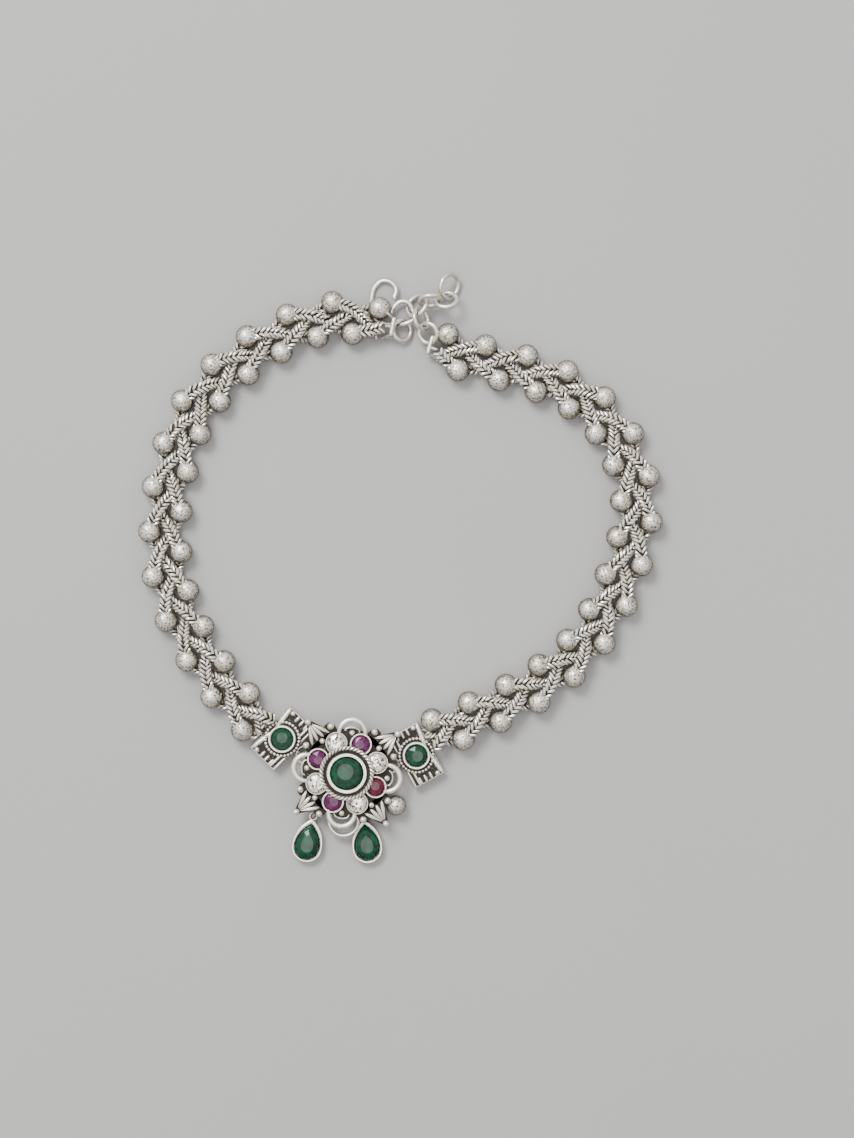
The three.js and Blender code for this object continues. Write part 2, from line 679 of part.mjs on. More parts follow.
// A ring with a bar that the three strands of a braid end at.
function makeEndRing({ side, x, y, z, radius, heading, tilt }) {
  const { path } = BRAIDS.find((braid) => braid.side === side);
  const middle = middleLine(path);
  const end = middle.getPointAt(1);
  const along = middle.getTangentAt(1);
  const bar = block(SOLDER_BAR.length, SOLDER_BAR.width, SOLDER_BAR.height);
  bar.translate(SOLDER_BAR.gap + SOLDER_BAR.length / 2, 0, 0).rotateZ(Math.atan2(along.y, along.x));
  bar.translate(end.x, end.y, BRAID_LEVEL);
  const loop = tilted(ring(radius, CLASP_WIRE, RING_STEPS), heading, tilt).translate(x, y, z);
  return meshOf(`end_ring_${side}`, geometryOf(fuse([bar, loop])), silver);
}

function makeExtender({ x, y, z, radius, heading, tilt }, index) {
  const loop = tilted(ring(radius, CLASP_WIRE, RING_STEPS), heading, tilt);
  const mesh = meshOf(`extender_${index + 1}`, loop, silver);
  mesh.position.set(x, y, z);
  return mesh;
}

function makeHook() {
  const path = new THREE.CatmullRomCurve3(HOOK_PATH.map(({ x, y, z }) => new THREE.Vector3(x, y, z)));
  return meshOf("s_hook", tube(path, wireSection(CLASP_WIRE, WIRE_SIDES), HOOK_STEPS), silver);
}

const pieces = new THREE.Group();
pieces.position.set(-MIDDLE.x, -MIDDLE.y, 0);
pieces.add(makeFlowerGroup());
pieces.add(...BOXES.map(makeBox));
pieces.add(...BOXES.map(makeLink));
for (const braid of BRAIDS) {
  for (let number = 0; number < STRANDS; number += 1) pieces.add(makeStrand(braid, number));
}
pieces.add(...DROPS.map(makeDrop));
pieces.add(...DROPS.map(makeDropRing));
pieces.add(makeHangingBall());
pieces.add(...END_RINGS.map(makeEndRing));
pieces.add(makeHook());
pieces.add(...EXTENDER.map(makeExtender));

const anklet = new THREE.Group();
anklet.add(pieces);

export default anklet;
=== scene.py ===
# Dresses the payal anklet: fine chain links and balls on the braids, smooth cast work on the flower
# and the end boxes, cut stones, and drawn wire on the clasp.
# Sizes are in millimetres, in the frame that the solids are made in, before they are centred.

import math

import bmesh
import bpy
import numpy as np
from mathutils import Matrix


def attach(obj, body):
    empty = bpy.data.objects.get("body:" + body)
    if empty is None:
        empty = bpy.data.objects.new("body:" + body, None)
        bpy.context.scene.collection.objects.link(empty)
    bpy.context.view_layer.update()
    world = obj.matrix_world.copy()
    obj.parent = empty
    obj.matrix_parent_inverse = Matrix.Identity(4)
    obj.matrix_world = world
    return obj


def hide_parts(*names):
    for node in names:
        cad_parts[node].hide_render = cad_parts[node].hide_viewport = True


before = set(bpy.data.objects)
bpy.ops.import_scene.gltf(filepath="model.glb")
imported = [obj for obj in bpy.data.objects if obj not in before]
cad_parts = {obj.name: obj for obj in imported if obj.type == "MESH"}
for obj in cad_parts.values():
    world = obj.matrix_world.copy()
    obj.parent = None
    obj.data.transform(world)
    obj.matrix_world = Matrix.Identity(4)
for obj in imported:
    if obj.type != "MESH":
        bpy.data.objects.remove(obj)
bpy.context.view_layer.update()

MM = 0.001
MIDDLE = (1.6, 0, 0)
SHARP_ANGLE = math.radians(38)
FLAT_ANGLE = math.radians(0.5)
TURN = 2 * math.pi

# Photograph
PHOTO_HEIGHT_MM = 214.7
PHOTO_CENTRE = (6.6, -0.1)
CAMERA_HEIGHT = 520
SENSOR_HEIGHT = 36
CLIP_START = 0.01

# Studio, in metres apart from the floor's patches. It is brightest up, and a little to the back and
# the left.
FLOOR = {"half": 3.0, "drop": 0.0001, "patch": 60, "roughness": 0.9}
FLOOR_DARK = (0.36, 0.356, 0.348)
FLOOR_LIGHT = (0.38, 0.376, 0.368)
LIGHTS = {
    "key": {"place": (-0.3, 0.45, 0.7), "size": (0.4, 0.3), "power": 9, "target": (0, 0, 0)},
    "top": {"place": (-0.05, -0.07, 0.9), "size": (0.34, 0.3), "power": 1.2, "target": (-0.05, -0.07, 0)},
}
SKY_WAY = (-0.12, 0.28, 0.95)
SKY_STOPS = ((0.0, (0.08, 0.08, 0.085)), (0.55, (0.9, 0.9, 0.9)))
SKY_STRENGTH = 1.5

# How finely round forms are made: sides and rows
BALL_MESH = (32, 18)
DOME_MESH = (16, 8)
BEAD_MESH = (12, 8)
EYE_MESH = (28, 10)
BALL_EYE_MESH = (32, 10)
LOOP_STEPS = 48
ROUND_SIDES = 64
PETAL_SIDES = 40
BOX_SIDES = 48

# Braids
BALL_RADIUS = 2.15
BALL_REACH = 2.9
BRAID_LEVEL = BALL_RADIUS
BRAID_REACH = 2.5
BRAID_RISE = 1.25
STRANDS = 3
START_CLEARANCE = 1.6
END_CLEARANCE = 1.3
END_SLACK = 0.05
CURVE_REACH = 0.02
STRAND_STEPS = 900
CHAIN = {
    "pitch": 0.86, "angle": 40, "half": 0.62, "rise": 0.44, "wire": 0.26, "side": 0.56, "square": 0.6,
    "short": 0.5, "steps": 14, "sides": 7,
}
CHAIN_ROWS = {-1: 0.5, 1: 0.75}
# A dark flat ribbon inside each strand: painted shade in the gaps between the links
CHAIN_SHADE_CORE = {"width": 1.5, "thickness": 0.5, "short": 1.3}
LINK_PLAY = {"turn": 6, "roll": 7, "shift": 0.035}
BRAIDS = {
    "left": {"outer": 1, "first": 3.9, "period": 24, "rise": -1},
    "right": {"outer": -1, "first": 6.4, "period": 23.2, "rise": -1},
}
PATHS = {
    "left": [
        (-23.3, -30.9), (-30, -24.3), (-36.8, -14.5), (-41.1, -5), (-42.6, 5.5), (-41.4, 18),
        (-36.4, 30.8), (-27.5, 39.8), (-17.4, 45.4), (-9.4, 47.2), (-1.1, 45.6),
    ],
    "right": [
        (6.4, -32.1), (16.6, -27.4), (27, -22.1), (36, -14.4), (42.8, -2.4), (46, 12),
        (42.6, 24.2), (34.8, 32.6), (24.5, 37.2), (15.5, 39.4), (8.4, 41.6),
    ],
}

# Flower
FLOWER = {"x": -8.4, "y": -38.3, "turn": -7.5}
PETAL_TURN = 4
PETALS = 8
RED_PETAL = 4
CORNERS = 4
QUARTER = 360 / CORNERS
PLATE_BOTTOM = 2.9
PLATE_TOP = 3.5
PLATE_EDGE = 0.12
BACK_RADIUS = 6.4
DISC_RADIUS = 8.3
AXIS = 0.02
BEZEL = {"flare": 0.05, "flare_height": 0.25, "edge": 0.1}
CENTRE = {"outer": 3.73, "inner": 3.13, "foot": 3.3, "floor": 4.1, "top": 5.2}
CENTRE_STONE = {"girdle": 0.4, "table": 0.4}
CENTRE_FACETS = 12
PETAL = {"outer": 2.05, "foot": 3.4, "top": 4.5, "distance": 5.98, "clear": 1.88, "purple": 1.78}
PETAL_FORM = {"edge": 0.06, "floor": 0.05}
PETAL_STONE = {"girdle": 0.35, "table": 0.1}
STONE_GAP = 0.08
ROPE = {"radius": 4.74, "wire": 0.21, "level": 4.85, "twist": 0.23, "turns": 20, "steps": 520, "sides": 7}
ROPE_FLANGE = {"out": 0.26, "in": 0.1, "levels": (4.3, 4.6, 4.7, 4.55)}
ARCH = {
    "distance": 7.6, "radius": 2.46, "wire": 0.52, "sweep": 206, "level": 3.75, "taper": 0.35, "sides": 16,
}
INNER_ARC = {
    "distance": 7.75, "radius": 1.4, "flat": 0.62, "wire": 0.12, "sweep": 170, "level": 3.55, "sides": 8,
}
SMALL_GRAIN = {"distance": 7.55, "radius": 0.55}
LARGE_GRAIN = {"distance": 9.25, "radius": 0.65, "spread": 18.3}
TIP_GRAIN = {"distance": 12, "radius": 0.63}
GRAIN_SEAT = 0.35
LEAF = {"apex": 11.3, "inner": 8, "spread": 2, "width": 0.95, "height": 0.6, "gather": 0.3, "count": 4}
LEAF_SINK = 0.02
FAN_OUTLINE = [(7, 3.4), (8.5, 3.6), (9.6, 3), (9.6, 2), (9, 1.95), (11.9, 0.5)]
FAN_STEPS = 6
BALL_SHARE = 0.9
BASE_LOOP = {"radius": 2.7, "wire": 0.35, "distance": 9.2, "turn": -94, "level": 2.25}

# End boxes
BOX = {"length": 6.4, "width": 10.8, "height": 2.2, "edge": 0.18}
BOX_CLEARANCE = 0.45
BOX_PANEL = {"inset": 0.05, "rise": 0.02}
BOX_FLANGE = {"outer": 3.48, "inner": 2.6, "below": 0.2, "rise": 0.12}
BOX_BEZEL = {"outer": 2.57, "inner": 2.17, "floor": 2.6, "top": 3.4, "sink": 0.1}
BOX_STONE = {"girdle": 0.4, "table": 0.28}
BOX_BEADS = {"radius": 3.17, "bead": 0.32, "count": 30, "level": 2.42}
BOX_BAR = {"length": 5, "width": 0.95, "height": 0.5, "lean": 7, "inset": 0.65, "side": 2.75, "sink": 0.1}
BOX_RIDGE = {"length": 3.4, "width": 0.5, "height": 0.35, "places": [2, 2.9]}
BOX_RIB = {"length": 1.5, "width": 0.55, "height": 0.35, "places": [-0.6, 0.5, 1.6]}
STRIP_SINK = 0.08
BOX_GRAIN = {"place": -1.9, "radius": 0.5, "inset": 0.6}
BOXES = {
    "left": {"x": -20.6, "y": -32, "turn": -45},
    "right": {"x": 4.6, "y": -35.1, "turn": 208.6},
}

# Eyes, links, drops and the hanging ball
EYE = {"radius": 0.65, "wire": 0.2}
EYE_OUT = 0.5
LINK = {"level": 1, "wire": 0.25}
DROP = {"length": 8.2, "width": 5.7, "curve": 1.9, "wall": 0.4, "floor": 0.5, "height": 1.7, "table": 2.3}
DROP_EDGE = 0.1
DROP_STONE = {"gap": 0.07, "middle": 0.6, "every": 4}
DROP_STONE_RINGS = [
    {"scale": 0.94, "level": 0.62, "first": 0},
    {"scale": 1, "level": DROP["height"] - 0.35, "first": 0},
    {"scale": 0.8, "level": DROP["height"] + 0.2, "first": 2},
    {"scale": 0.5, "level": DROP["table"], "first": 0},
]
DROP_EYE = {"out": 0.5, "level": 1}
DROP_RING = {"radius": 1, "wire": 0.2, "level": 1.3, "overlap": 0.05}
DROPS = {
    "left": {"distance": 11, "bearing": -126.4, "turn": -101.7},
    "right": {"distance": 9.5, "bearing": -70.8, "turn": -83},
}
HANGING_BALL = {"radius": 1.9, "distance": 11.1, "bearing": -34.1}
BALL_EYE = {"out": 0.45, "radius": 0.8, "wire": 0.2, "level": 2.1}

# Clasp: x, y, z, radius, heading and tilt of each ring
CLASP_WIRE = 0.41
SOLDER_BAR = {"length": 0.9, "width": 4, "height": 2, "gap": 0.8, "hold": 1.4, "rod": 0.45, "points": 9}
HOOK_SAMPLES = 400
HOOK_STEPS = 120
END_RINGS = {
    "left": (1.9, 44.8, 1.35, 1.9, 91, 29),
    "right": (6.8, 44.2, 2.5, 1.9, 121, -32),
}
EXTENDER = [
    (5.5, 46.8, 3, 2, 105, 53),
    (4.7, 49.4, 2.2, 2.2, 53, -45),
    (7.2, 50.2, 3.4, 2, 3, 66),
    (10.2, 50.4, 3, 2, 5, -43),
    (10.8, 53, 2.3, 2.3, 69, 47),
]
HOOK_PATH = [
    (0.4, 50.9, 1.2), (0.8, 52.5, 1), (-0.2, 53.9, 0.8), (-1.9, 54.2, 0.6), (-3.4, 52.8, 0.45),
    (-3.85, 50.6, 0.39), (-4, 48.5, 0.39), (-2.89, 46.75, 0.39), (-0.68, 46.11, 0.39),
    (0.86, 45.77, 0.72), (2.11, 45.92, 1.81), (3.98, 46.8, 1.93), (4, 48.4, 1.65), (3, 50, 1.65),
    (1.6, 50.2, 1.5), (0.2, 49, 1.3), (-0.2, 48, 1.2),
]

# Looks of the materials
SILVER_LIGHT = (0.94, 0.90, 0.82)
SILVER_WARM = (0.80, 0.73, 0.62)
SILVER_SPECK = (0.15, 0.132, 0.11)
# Painted shade: the colours that the sides of the silver darken to as they turn away from the top
SILVER_SIDE_SHADE = (0.11, 0.092, 0.075)
BALL_SIDE_SHADE = (0.27, 0.238, 0.195)
SILVER_DARK = (0.03, 0.026, 0.022)

# Each silver: where its specks start and how softly, the grain's size in millimetres, how far a hollow
# reaches and between which limits it darkens, and between which slopes the painted shade on a side sets in,
# and to what colour
SILVERS = {
    "silver_chain": {
        "roughness": 0.34, "speckle": 0.27, "soft": 0.12, "grain": 0.22, "reach": 0.42,
        "hollows": (0.12, 0.62), "sides": (0.45, 0.82), "side": SILVER_SIDE_SHADE, "bump": 0.25,
    },
    "silver_ball": {
        "roughness": 0.38, "speckle": 0.39, "soft": 0.13, "grain": 0.36, "reach": 0.6,
        "hollows": (0.05, 0.4), "sides": (0.64, 0.83), "side": BALL_SIDE_SHADE, "bump": 1.0,
    },
    "silver_cast": {
        "roughness": 0.34, "speckle": 0.27, "soft": 0.12, "grain": 0.3, "reach": 0.6,
        "hollows": (0.14, 0.6), "sides": (0.35, 0.65), "side": SILVER_SIDE_SHADE, "bump": 0.25,
    },
    "silver_wire": {
        "roughness": 0.32, "speckle": 0.30, "soft": 0.12, "grain": 0.4, "reach": 0.5,
        "hollows": (0.1, 0.5), "sides": (0.5, 0.7), "side": SILVER_SIDE_SHADE, "bump": 0.25,
    },
}
SILVER = {"metallic": 0.85, "speck_roughness": 0.3, "ragged": 0.12, "bump_grain": 0.8, "depth": 0.05}
CLOUD = {"size": 3.5, "limits": (0.35, 0.65)}
SPECK_NOISE = (3, 0.65)
EVEN_NOISE = (2, 0.6)
HOLLOW_SAMPLES = 6
TARNISH_PATCH = (0.20, 0.18, 0.16)
TARNISH_LOOK = {
    "size": 0.35, "noise": (3, 0.6), "limits": (0.6, 0.72), "metallic": 0.9, "roughness": 0.55,
    "bump_size": 0.2, "bump": 0.4, "depth": 0.08,
}
GEMS = {
    "green_stone": {"deep": (0.0, 0.008, 0.004), "bright": (0.002, 0.07, 0.03), "streak": 1.4},
    "purple_stone": {"deep": (0.025, 0.001, 0.018), "bright": (0.13, 0.014, 0.09), "streak": 0.9},
    "red_stone": {"deep": (0.025, 0.0005, 0.006), "bright": (0.13, 0.004, 0.028), "streak": 0.9},
}
GEM = {"roughness": 0.06, "ior": 1.5, "specular": 0.32, "streaks": (0.4, 0.62)}
FLECKS = {"size": 0.45, "limits": (0.1, 0.9), "shades": (0.25, 0.75), "share": 0.45}
CLEAR = {"cell": 0.36, "metallic": 0.5, "roughness": 0.15, "bump": 0.7, "depth": 0.12}
# The clear stone's colours are painted reflection and shade of its facets
CLEAR_PAINTED_FACETS = [(0.25, (0.1, 0.085, 0.07)), (0.4, (0.62, 0.56, 0.48)), (0.6, (0.98, 0.94, 0.88))]

# Places of the colour sockets on a mix node
MIX_FACTOR, MIX_FIRST, MIX_SECOND, MIX_RESULT = 0, 6, 7, 2


# Materials

def new_material(name):
    material = bpy.data.materials.new(name)
    material.use_nodes = True
    nodes = material.node_tree.nodes
    nodes.clear()
    output = nodes.new("ShaderNodeOutputMaterial")
    shader = nodes.new("ShaderNodeBsdfPrincipled")
    material.node_tree.links.new(shader.outputs["BSDF"], output.inputs["Surface"])
    return material, shader


class Nodes:
    """Short calls for the nodes that the materials share."""

    def __init__(self, material):
        self.tree = material.node_tree
        self.place = self.tree.nodes.new("ShaderNodeTexCoord").outputs["Object"]

    def link(self, source, target):
        self.tree.links.new(source, target)

    def noise(self, size, detail=2.0, roughness=0.5):
        node = self.tree.nodes.new("ShaderNodeTexNoise")
        node.inputs["Scale"].default_value = 1 / (size * MM)
        node.inputs["Detail"].default_value = detail
        node.inputs["Roughness"].default_value = roughness
        self.link(self.place, node.inputs["Vector"])
        return node.outputs["Fac"]

    def cells(self, size):
        node = self.tree.nodes.new("ShaderNodeTexVoronoi")
        node.inputs["Scale"].default_value = 1 / (size * MM)
        self.link(self.place, node.inputs["Vector"])
        return node.outputs

    def ramp(self, source, stops):
        node = self.tree.nodes.new("ShaderNodeValToRGB")
        elements = node.color_ramp.elements
        while len(elements) < len(stops):
            elements.new(0.5)
        for element, (position, colour) in zip(elements, stops):
            element.position = position
            element.color = (*colour, 1)
        self.link(source, node.inputs["Fac"])
        return node.outputs["Color"]

    def grey(self, source, low, high, dark=0.0, light=1.0):
        return self.ramp(source, [(low, (dark,) * 3), (high, (light,) * 3)])

    def mix(self, factor, first, second, kind="MIX"):
        node = self.tree.nodes.new("ShaderNodeMix")
        node.data_type = "RGBA"
        node.blend_type = kind
        for socket, value in ((MIX_FACTOR, factor), (MIX_FIRST, first), (MIX_SECOND, second)):
            if isinstance(value, bpy.types.NodeSocket):
                self.link(value, node.inputs[socket])
            elif socket == MIX_FACTOR:
                node.inputs[socket].default_value = value
            else:
                node.inputs[socket].default_value = (*value, 1)
        return node.outputs[MIX_RESULT]

    def bump(self, shader, height, strength, distance):
        node = self.tree.nodes.new("ShaderNodeBump")
        node.inputs["Strength"].default_value = strength
        node.inputs["Distance"].default_value = distance * MM
        self.link(height, node.inputs["Height"])
        self.link(node.outputs["Normal"], shader.inputs["Normal"])

    def hollow(self, reach):
        node = self.tree.nodes.new("ShaderNodeAmbientOcclusion")
        node.inputs["Distance"].default_value = reach * MM
        node.samples = HOLLOW_SAMPLES
        return node.outputs["AO"]

    def facing_up(self):
        geometry = self.tree.nodes.new("ShaderNodeNewGeometry")
        split = self.tree.nodes.new("ShaderNodeSeparateXYZ")
        self.link(geometry.outputs["Normal"], split.inputs[0])
        shift = self.tree.nodes.new("ShaderNodeMapRange")
        shift.inputs["From Min"].default_value = -1
        self.link(split.outputs["Z"], shift.inputs["Value"])
        return shift.outputs["Result"]


def silver(name):
    """Worn bright metal with dark tarnish in its hollows and specks of it on top, and painted shade down its
    sides, darker as they turn from the top.
    """
    look = SILVERS[name]
    grain, speckle, roughness = look["grain"], look["speckle"], look["roughness"]
    material, shader = new_material(name)
    nodes = Nodes(material)
    cloud = nodes.mix(nodes.grey(nodes.noise(CLOUD["size"]), *CLOUD["limits"]), SILVER_LIGHT, SILVER_WARM)
    specks = nodes.grey(nodes.noise(grain, *SPECK_NOISE), speckle, speckle + look["soft"])
    colour = nodes.mix(specks, SILVER_SPECK, cloud)
    colour = nodes.mix(nodes.grey(nodes.hollow(look["reach"]), *look["hollows"]), SILVER_DARK, colour)
    # Painted shade: the colour darkens down each side, by how far the surface turns from facing up, with a
    # ragged edge
    ragged = nodes.mix(SILVER["ragged"], nodes.facing_up(), nodes.noise(grain, *EVEN_NOISE))
    shaded_colour = nodes.mix(1.0, colour, look["side"], "MULTIPLY")
    colour = nodes.mix(nodes.grey(ragged, *look["sides"]), shaded_colour, colour)
    nodes.link(colour, shader.inputs["Base Color"])
    worn = nodes.grey(specks, 0, 1, roughness + SILVER["speck_roughness"], roughness)
    nodes.link(worn, shader.inputs["Roughness"])
    shader.inputs["Metallic"].default_value = SILVER["metallic"]
    height = nodes.noise(grain * SILVER["bump_grain"], *EVEN_NOISE)
    nodes.bump(shader, height, look["bump"], SILVER["depth"])
    return material


def tarnish_and_shade(name):
    """Black metal with small worn patches, for the sunk panels, and for the dark core in each braid, where
    it is painted shade between the links.
    """
    look = TARNISH_LOOK
    material, shader = new_material(name)
    nodes = Nodes(material)
    patches = nodes.grey(nodes.noise(look["size"], *look["noise"]), *look["limits"])
    nodes.link(nodes.mix(patches, SILVER_DARK, TARNISH_PATCH), shader.inputs["Base Color"])
    shader.inputs["Metallic"].default_value = look["metallic"]
    shader.inputs["Roughness"].default_value = look["roughness"]
    nodes.bump(shader, nodes.noise(look["bump_size"]), look["bump"], look["depth"])
    return material


def gem(name):
    """A foiled stone: its colour shifts in soft streaks, as the light off its hidden facets does."""
    look = GEMS[name]
    material, shader = new_material(name)
    nodes = Nodes(material)
    streaks = nodes.grey(nodes.noise(look["streak"], *EVEN_NOISE), *GEM["streaks"])
    cells = nodes.cells(look["streak"] * FLECKS["size"])["Color"]
    flecks = nodes.grey(cells, *FLECKS["limits"], *FLECKS["shades"])
    shade = nodes.mix(FLECKS["share"], streaks, flecks)
    nodes.link(nodes.mix(shade, look["deep"], look["bright"]), shader.inputs["Base Color"])
    shader.inputs["Roughness"].default_value = GEM["roughness"]
    shader.inputs["IOR"].default_value = GEM["ior"]
    shader.inputs["Specular IOR Level"].default_value = GEM["specular"]
    return material


def clear_gem(name):
    """A clear stone over silver foil, with painted reflection and shade that make its facets bright and
    dark.
    """
    material, shader = new_material(name)
    nodes = Nodes(material)
    facets = nodes.cells(CLEAR["cell"])["Color"]
    # Painted reflection and shade: each cell is coloured dark, grey or bright, as the light off a facet
    # would be
    nodes.link(nodes.ramp(facets, CLEAR_PAINTED_FACETS), shader.inputs["Base Color"])
    shader.inputs["Metallic"].default_value = CLEAR["metallic"]
    shader.inputs["Roughness"].default_value = CLEAR["roughness"]
    nodes.bump(shader, facets, CLEAR["bump"], CLEAR["depth"])
    return material


LINKS = silver("silver_chain")
BALLS = silver("silver_ball")
CAST = silver("silver_cast")
WIRE = silver("silver_wire")
TARNISH_AND_SHADE = tarnish_and_shade("silver_tarnish_and_shade")
EMERALD = gem("green_stone")
RUBY = gem("purple_stone")
RUBY_RED = gem("red_stone")
CRYSTAL = clear_gem("clear_stone")

# Places of a piece's materials
BRIGHT, DARK = 0, 1
LINK_SLOT, BALL_SLOT, SHADE_CORE_SLOT = 0, 1, 2

# Forms: a ball's poles and a wire's rounded tips are shares of their radius, and no wire starts along
# the slant
POLE = 0.004
TIP = {"out": 0.6, "size": 0.55}
SLANT = (0.3, 0.2, 1)
BRILLIANT = {"foot": 0.9, "depth": 0.25, "kite": 0.84, "kite_rise": 0.55, "table": 0.5}
TABLE_SHIFT = (-0.08, 0.1, 0)
BAR_FORM = {"points": 8, "least": 0.05, "ends": 0.45, "crown": 0.8}
LEAF_FORM = {"points": 12, "least": 0.03, "ends": 0.6, "taper": 0.55, "crown": 0.7}
LEAF_GROOVE = {"depth": 0.2, "width": 0.22}


# Mesh building

class Mesh:
    """Gathers points in millimetres, and faces with a material slot each."""

    def __init__(self):
        self.points = []
        self.faces = []
        self.slots = []
        self.count = 0

    def add(self, shape, slot=BRIGHT, matrix=None):
        points, faces = shape
        points = np.asarray(points, float)
        if matrix is not None:
            points = points @ matrix[:3, :3].T + matrix[:3, 3]
        self.points.append(points)
        start = self.count
        self.faces.extend([tuple(i + start for i in face) for face in faces])
        self.slots.extend([slot] * len(faces))
        self.count += len(points)

    def build(self, name, materials, matrix=None, flat=False):
        points = np.concatenate(self.points)
        if matrix is not None:
            points = points @ matrix[:3, :3].T + matrix[:3, 3]
        points = (points - np.array(MIDDLE)) * MM
        data = bpy.data.meshes.new(name)
        data.from_pydata(points.tolist(), [], self.faces)
        for material in materials:
            data.materials.append(material)
        data.polygons.foreach_set("material_index", self.slots)
        data.update()
        if not flat:
            data.shade_smooth()
            data.set_sharp_from_angle(angle=SHARP_ANGLE)
        piece = bpy.data.objects.new(name, data)
        bpy.context.scene.collection.objects.link(piece)
        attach(piece, "root")
        return piece


def moved(x=0.0, y=0.0, z=0.0):
    matrix = np.eye(4)
    matrix[:3, 3] = (x, y, z)
    return matrix


def spun(angle, axis="z"):
    """A turn by degrees about an axis."""
    c, s = math.cos(math.radians(angle)), math.sin(math.radians(angle))
    matrix = np.eye(4)
    i, j = {"x": (1, 2), "y": (2, 0), "z": (0, 1)}[axis]
    matrix[i, i] = matrix[j, j] = c
    matrix[i, j] = -s
    matrix[j, i] = s
    return matrix


def at_bearing(bearing, distance, level=0.0):
    return spun(bearing) @ moved(distance, 0, level)


def loft(rings, closed=False):
    """Skins a list of rings of points, each ring closed, with the same count of points."""
    rings = [np.asarray(ring, float) for ring in rings]
    n = len(rings[0])
    points = np.concatenate(rings)
    faces = []
    spans = len(rings) if closed else len(rings) - 1
    for k in range(spans):
        a, b = k * n, ((k + 1) % len(rings)) * n
        for i in range(n):
            j = (i + 1) % n
            faces.append((a + i, a + j, b + j, b + i))
    if not closed:
        faces.append(tuple(range(n - 1, -1, -1)))
        last = (len(rings) - 1) * n
        faces.append(tuple(range(last, last + n)))
    return points, faces


def circle(radius, sides, level=0.0, shift=0.0):
    angles = (np.arange(sides) + shift) * TURN / sides
    return np.stack([radius * np.cos(angles), radius * np.sin(angles), np.full(sides, level)], 1)


def rectangle(half_x, half_y, level):
    signs = ((-1, -1), (1, -1), (1, 1), (-1, 1))
    return [(way_x * half_x, way_y * half_y, level) for way_x, way_y in signs]


def lathe(profile, sides=48):
    return loft([circle(radius, sides, level) for radius, level in profile])


def sphere(radius, sides, rows):
    rings = []
    for k in range(rows + 1):
        angle = math.pi * k / rows
        reach = max(radius * math.sin(angle), radius * POLE)
        rings.append(circle(reach, sides, -radius * math.cos(angle)))
    return loft(rings)


def dome(radius):
    return sphere(radius, *DOME_MESH)


def torus(radius, wire, steps=40, sides=12):
    rings = []
    for k in range(steps):
        angle = TURN * k / steps
        ring = circle(wire, sides)
        out = radius + ring[:, 0]
        rings.append(np.stack([out * math.cos(angle), out * math.sin(angle), ring[:, 1]], 1))
    return loft(rings, closed=True)


def tube(points, radii, sides=12, closed=False):
    """A round wire along points, with a radius for each point and rounded ends."""
    points = np.asarray(points, float)
    tangents = np.gradient(points, axis=0)
    if closed:
        tangents = np.roll(points, -1, 0) - np.roll(points, 1, 0)
    tangents /= np.linalg.norm(tangents, axis=1)[:, None]
    normal = np.cross(tangents[0], SLANT)
    rings = []
    for point, tangent, radius in zip(points, tangents, radii):
        normal = normal - tangent * np.dot(normal, tangent)
        normal /= np.linalg.norm(normal)
        side = np.cross(tangent, normal)
        ring = circle(radius, sides)
        rings.append(point + ring[:, :1] * normal + ring[:, 1:2] * side)
    if closed:
        return loft(rings, closed=True)
    tips = []
    for end, way in ((0, -1), (-1, 1)):
        tip = points[end] + way * tangents[end] * radii[end] * TIP["out"]
        tips.append(tip + (rings[end] - points[end]) * TIP["size"])
    return loft([tips[0], *rings, tips[1]])


def arc_points(radius, sweep, steps=28):
    angles = np.radians(np.linspace(-sweep / 2, sweep / 2, steps + 1))
    return np.stack([radius * np.cos(angles), radius * np.sin(angles), np.zeros(steps + 1)], 1)


def hull(points):
    """The convex solid round a set of points."""
    build = bmesh.new()
    for point in points:
        build.verts.new(point)
    result = bmesh.ops.convex_hull(build, input=build.verts)
    loose = [v for v in result["geom_interior"] if isinstance(v, bmesh.types.BMVert)]
    bmesh.ops.delete(build, geom=loose, context="VERTS")
    bmesh.ops.dissolve_limit(build, angle_limit=FLAT_ANGLE, verts=build.verts, edges=build.edges)
    build.verts.index_update()
    corners = [tuple(v.co) for v in build.verts]
    faces = [tuple(v.index for v in face.verts) for face in build.faces]
    build.free()
    return corners, faces


def brilliant(radius, girdle, table, main=8):
    """A round stone with a table that lies a little off its middle, star and kite facets and a girdle."""
    cut = BRILLIANT
    kites = girdle + (table - girdle) * cut["kite_rise"]
    off_middle = np.array(TABLE_SHIFT) * radius
    points = [
        *circle(radius * cut["foot"], 2 * main, girdle - cut["depth"]),
        *circle(radius, 2 * main, girdle, 0.5),
        *circle(radius * cut["kite"], main, kites, 0.5),
        *(circle(radius * cut["table"], main, table) + off_middle),
    ]
    return hull(points)


def bar(length, width, height, rows=10):
    """A long low bar with a rounded top and round ends, lying along x from z = 0."""
    rings = []
    for k in range(rows + 1):
        angle = math.pi * k / rows
        scale = max(math.sin(angle), BAR_FORM["least"]) ** BAR_FORM["ends"]
        along = -length / 2 * math.cos(angle)
        section = []
        for i in range(BAR_FORM["points"] + 1):
            turn = math.pi * i / BAR_FORM["points"]
            rise = height * scale * math.sin(turn) ** BAR_FORM["crown"]
            section.append((along, -width / 2 * scale * math.cos(turn), rise))
        rings.append(section)
    return loft(rings)


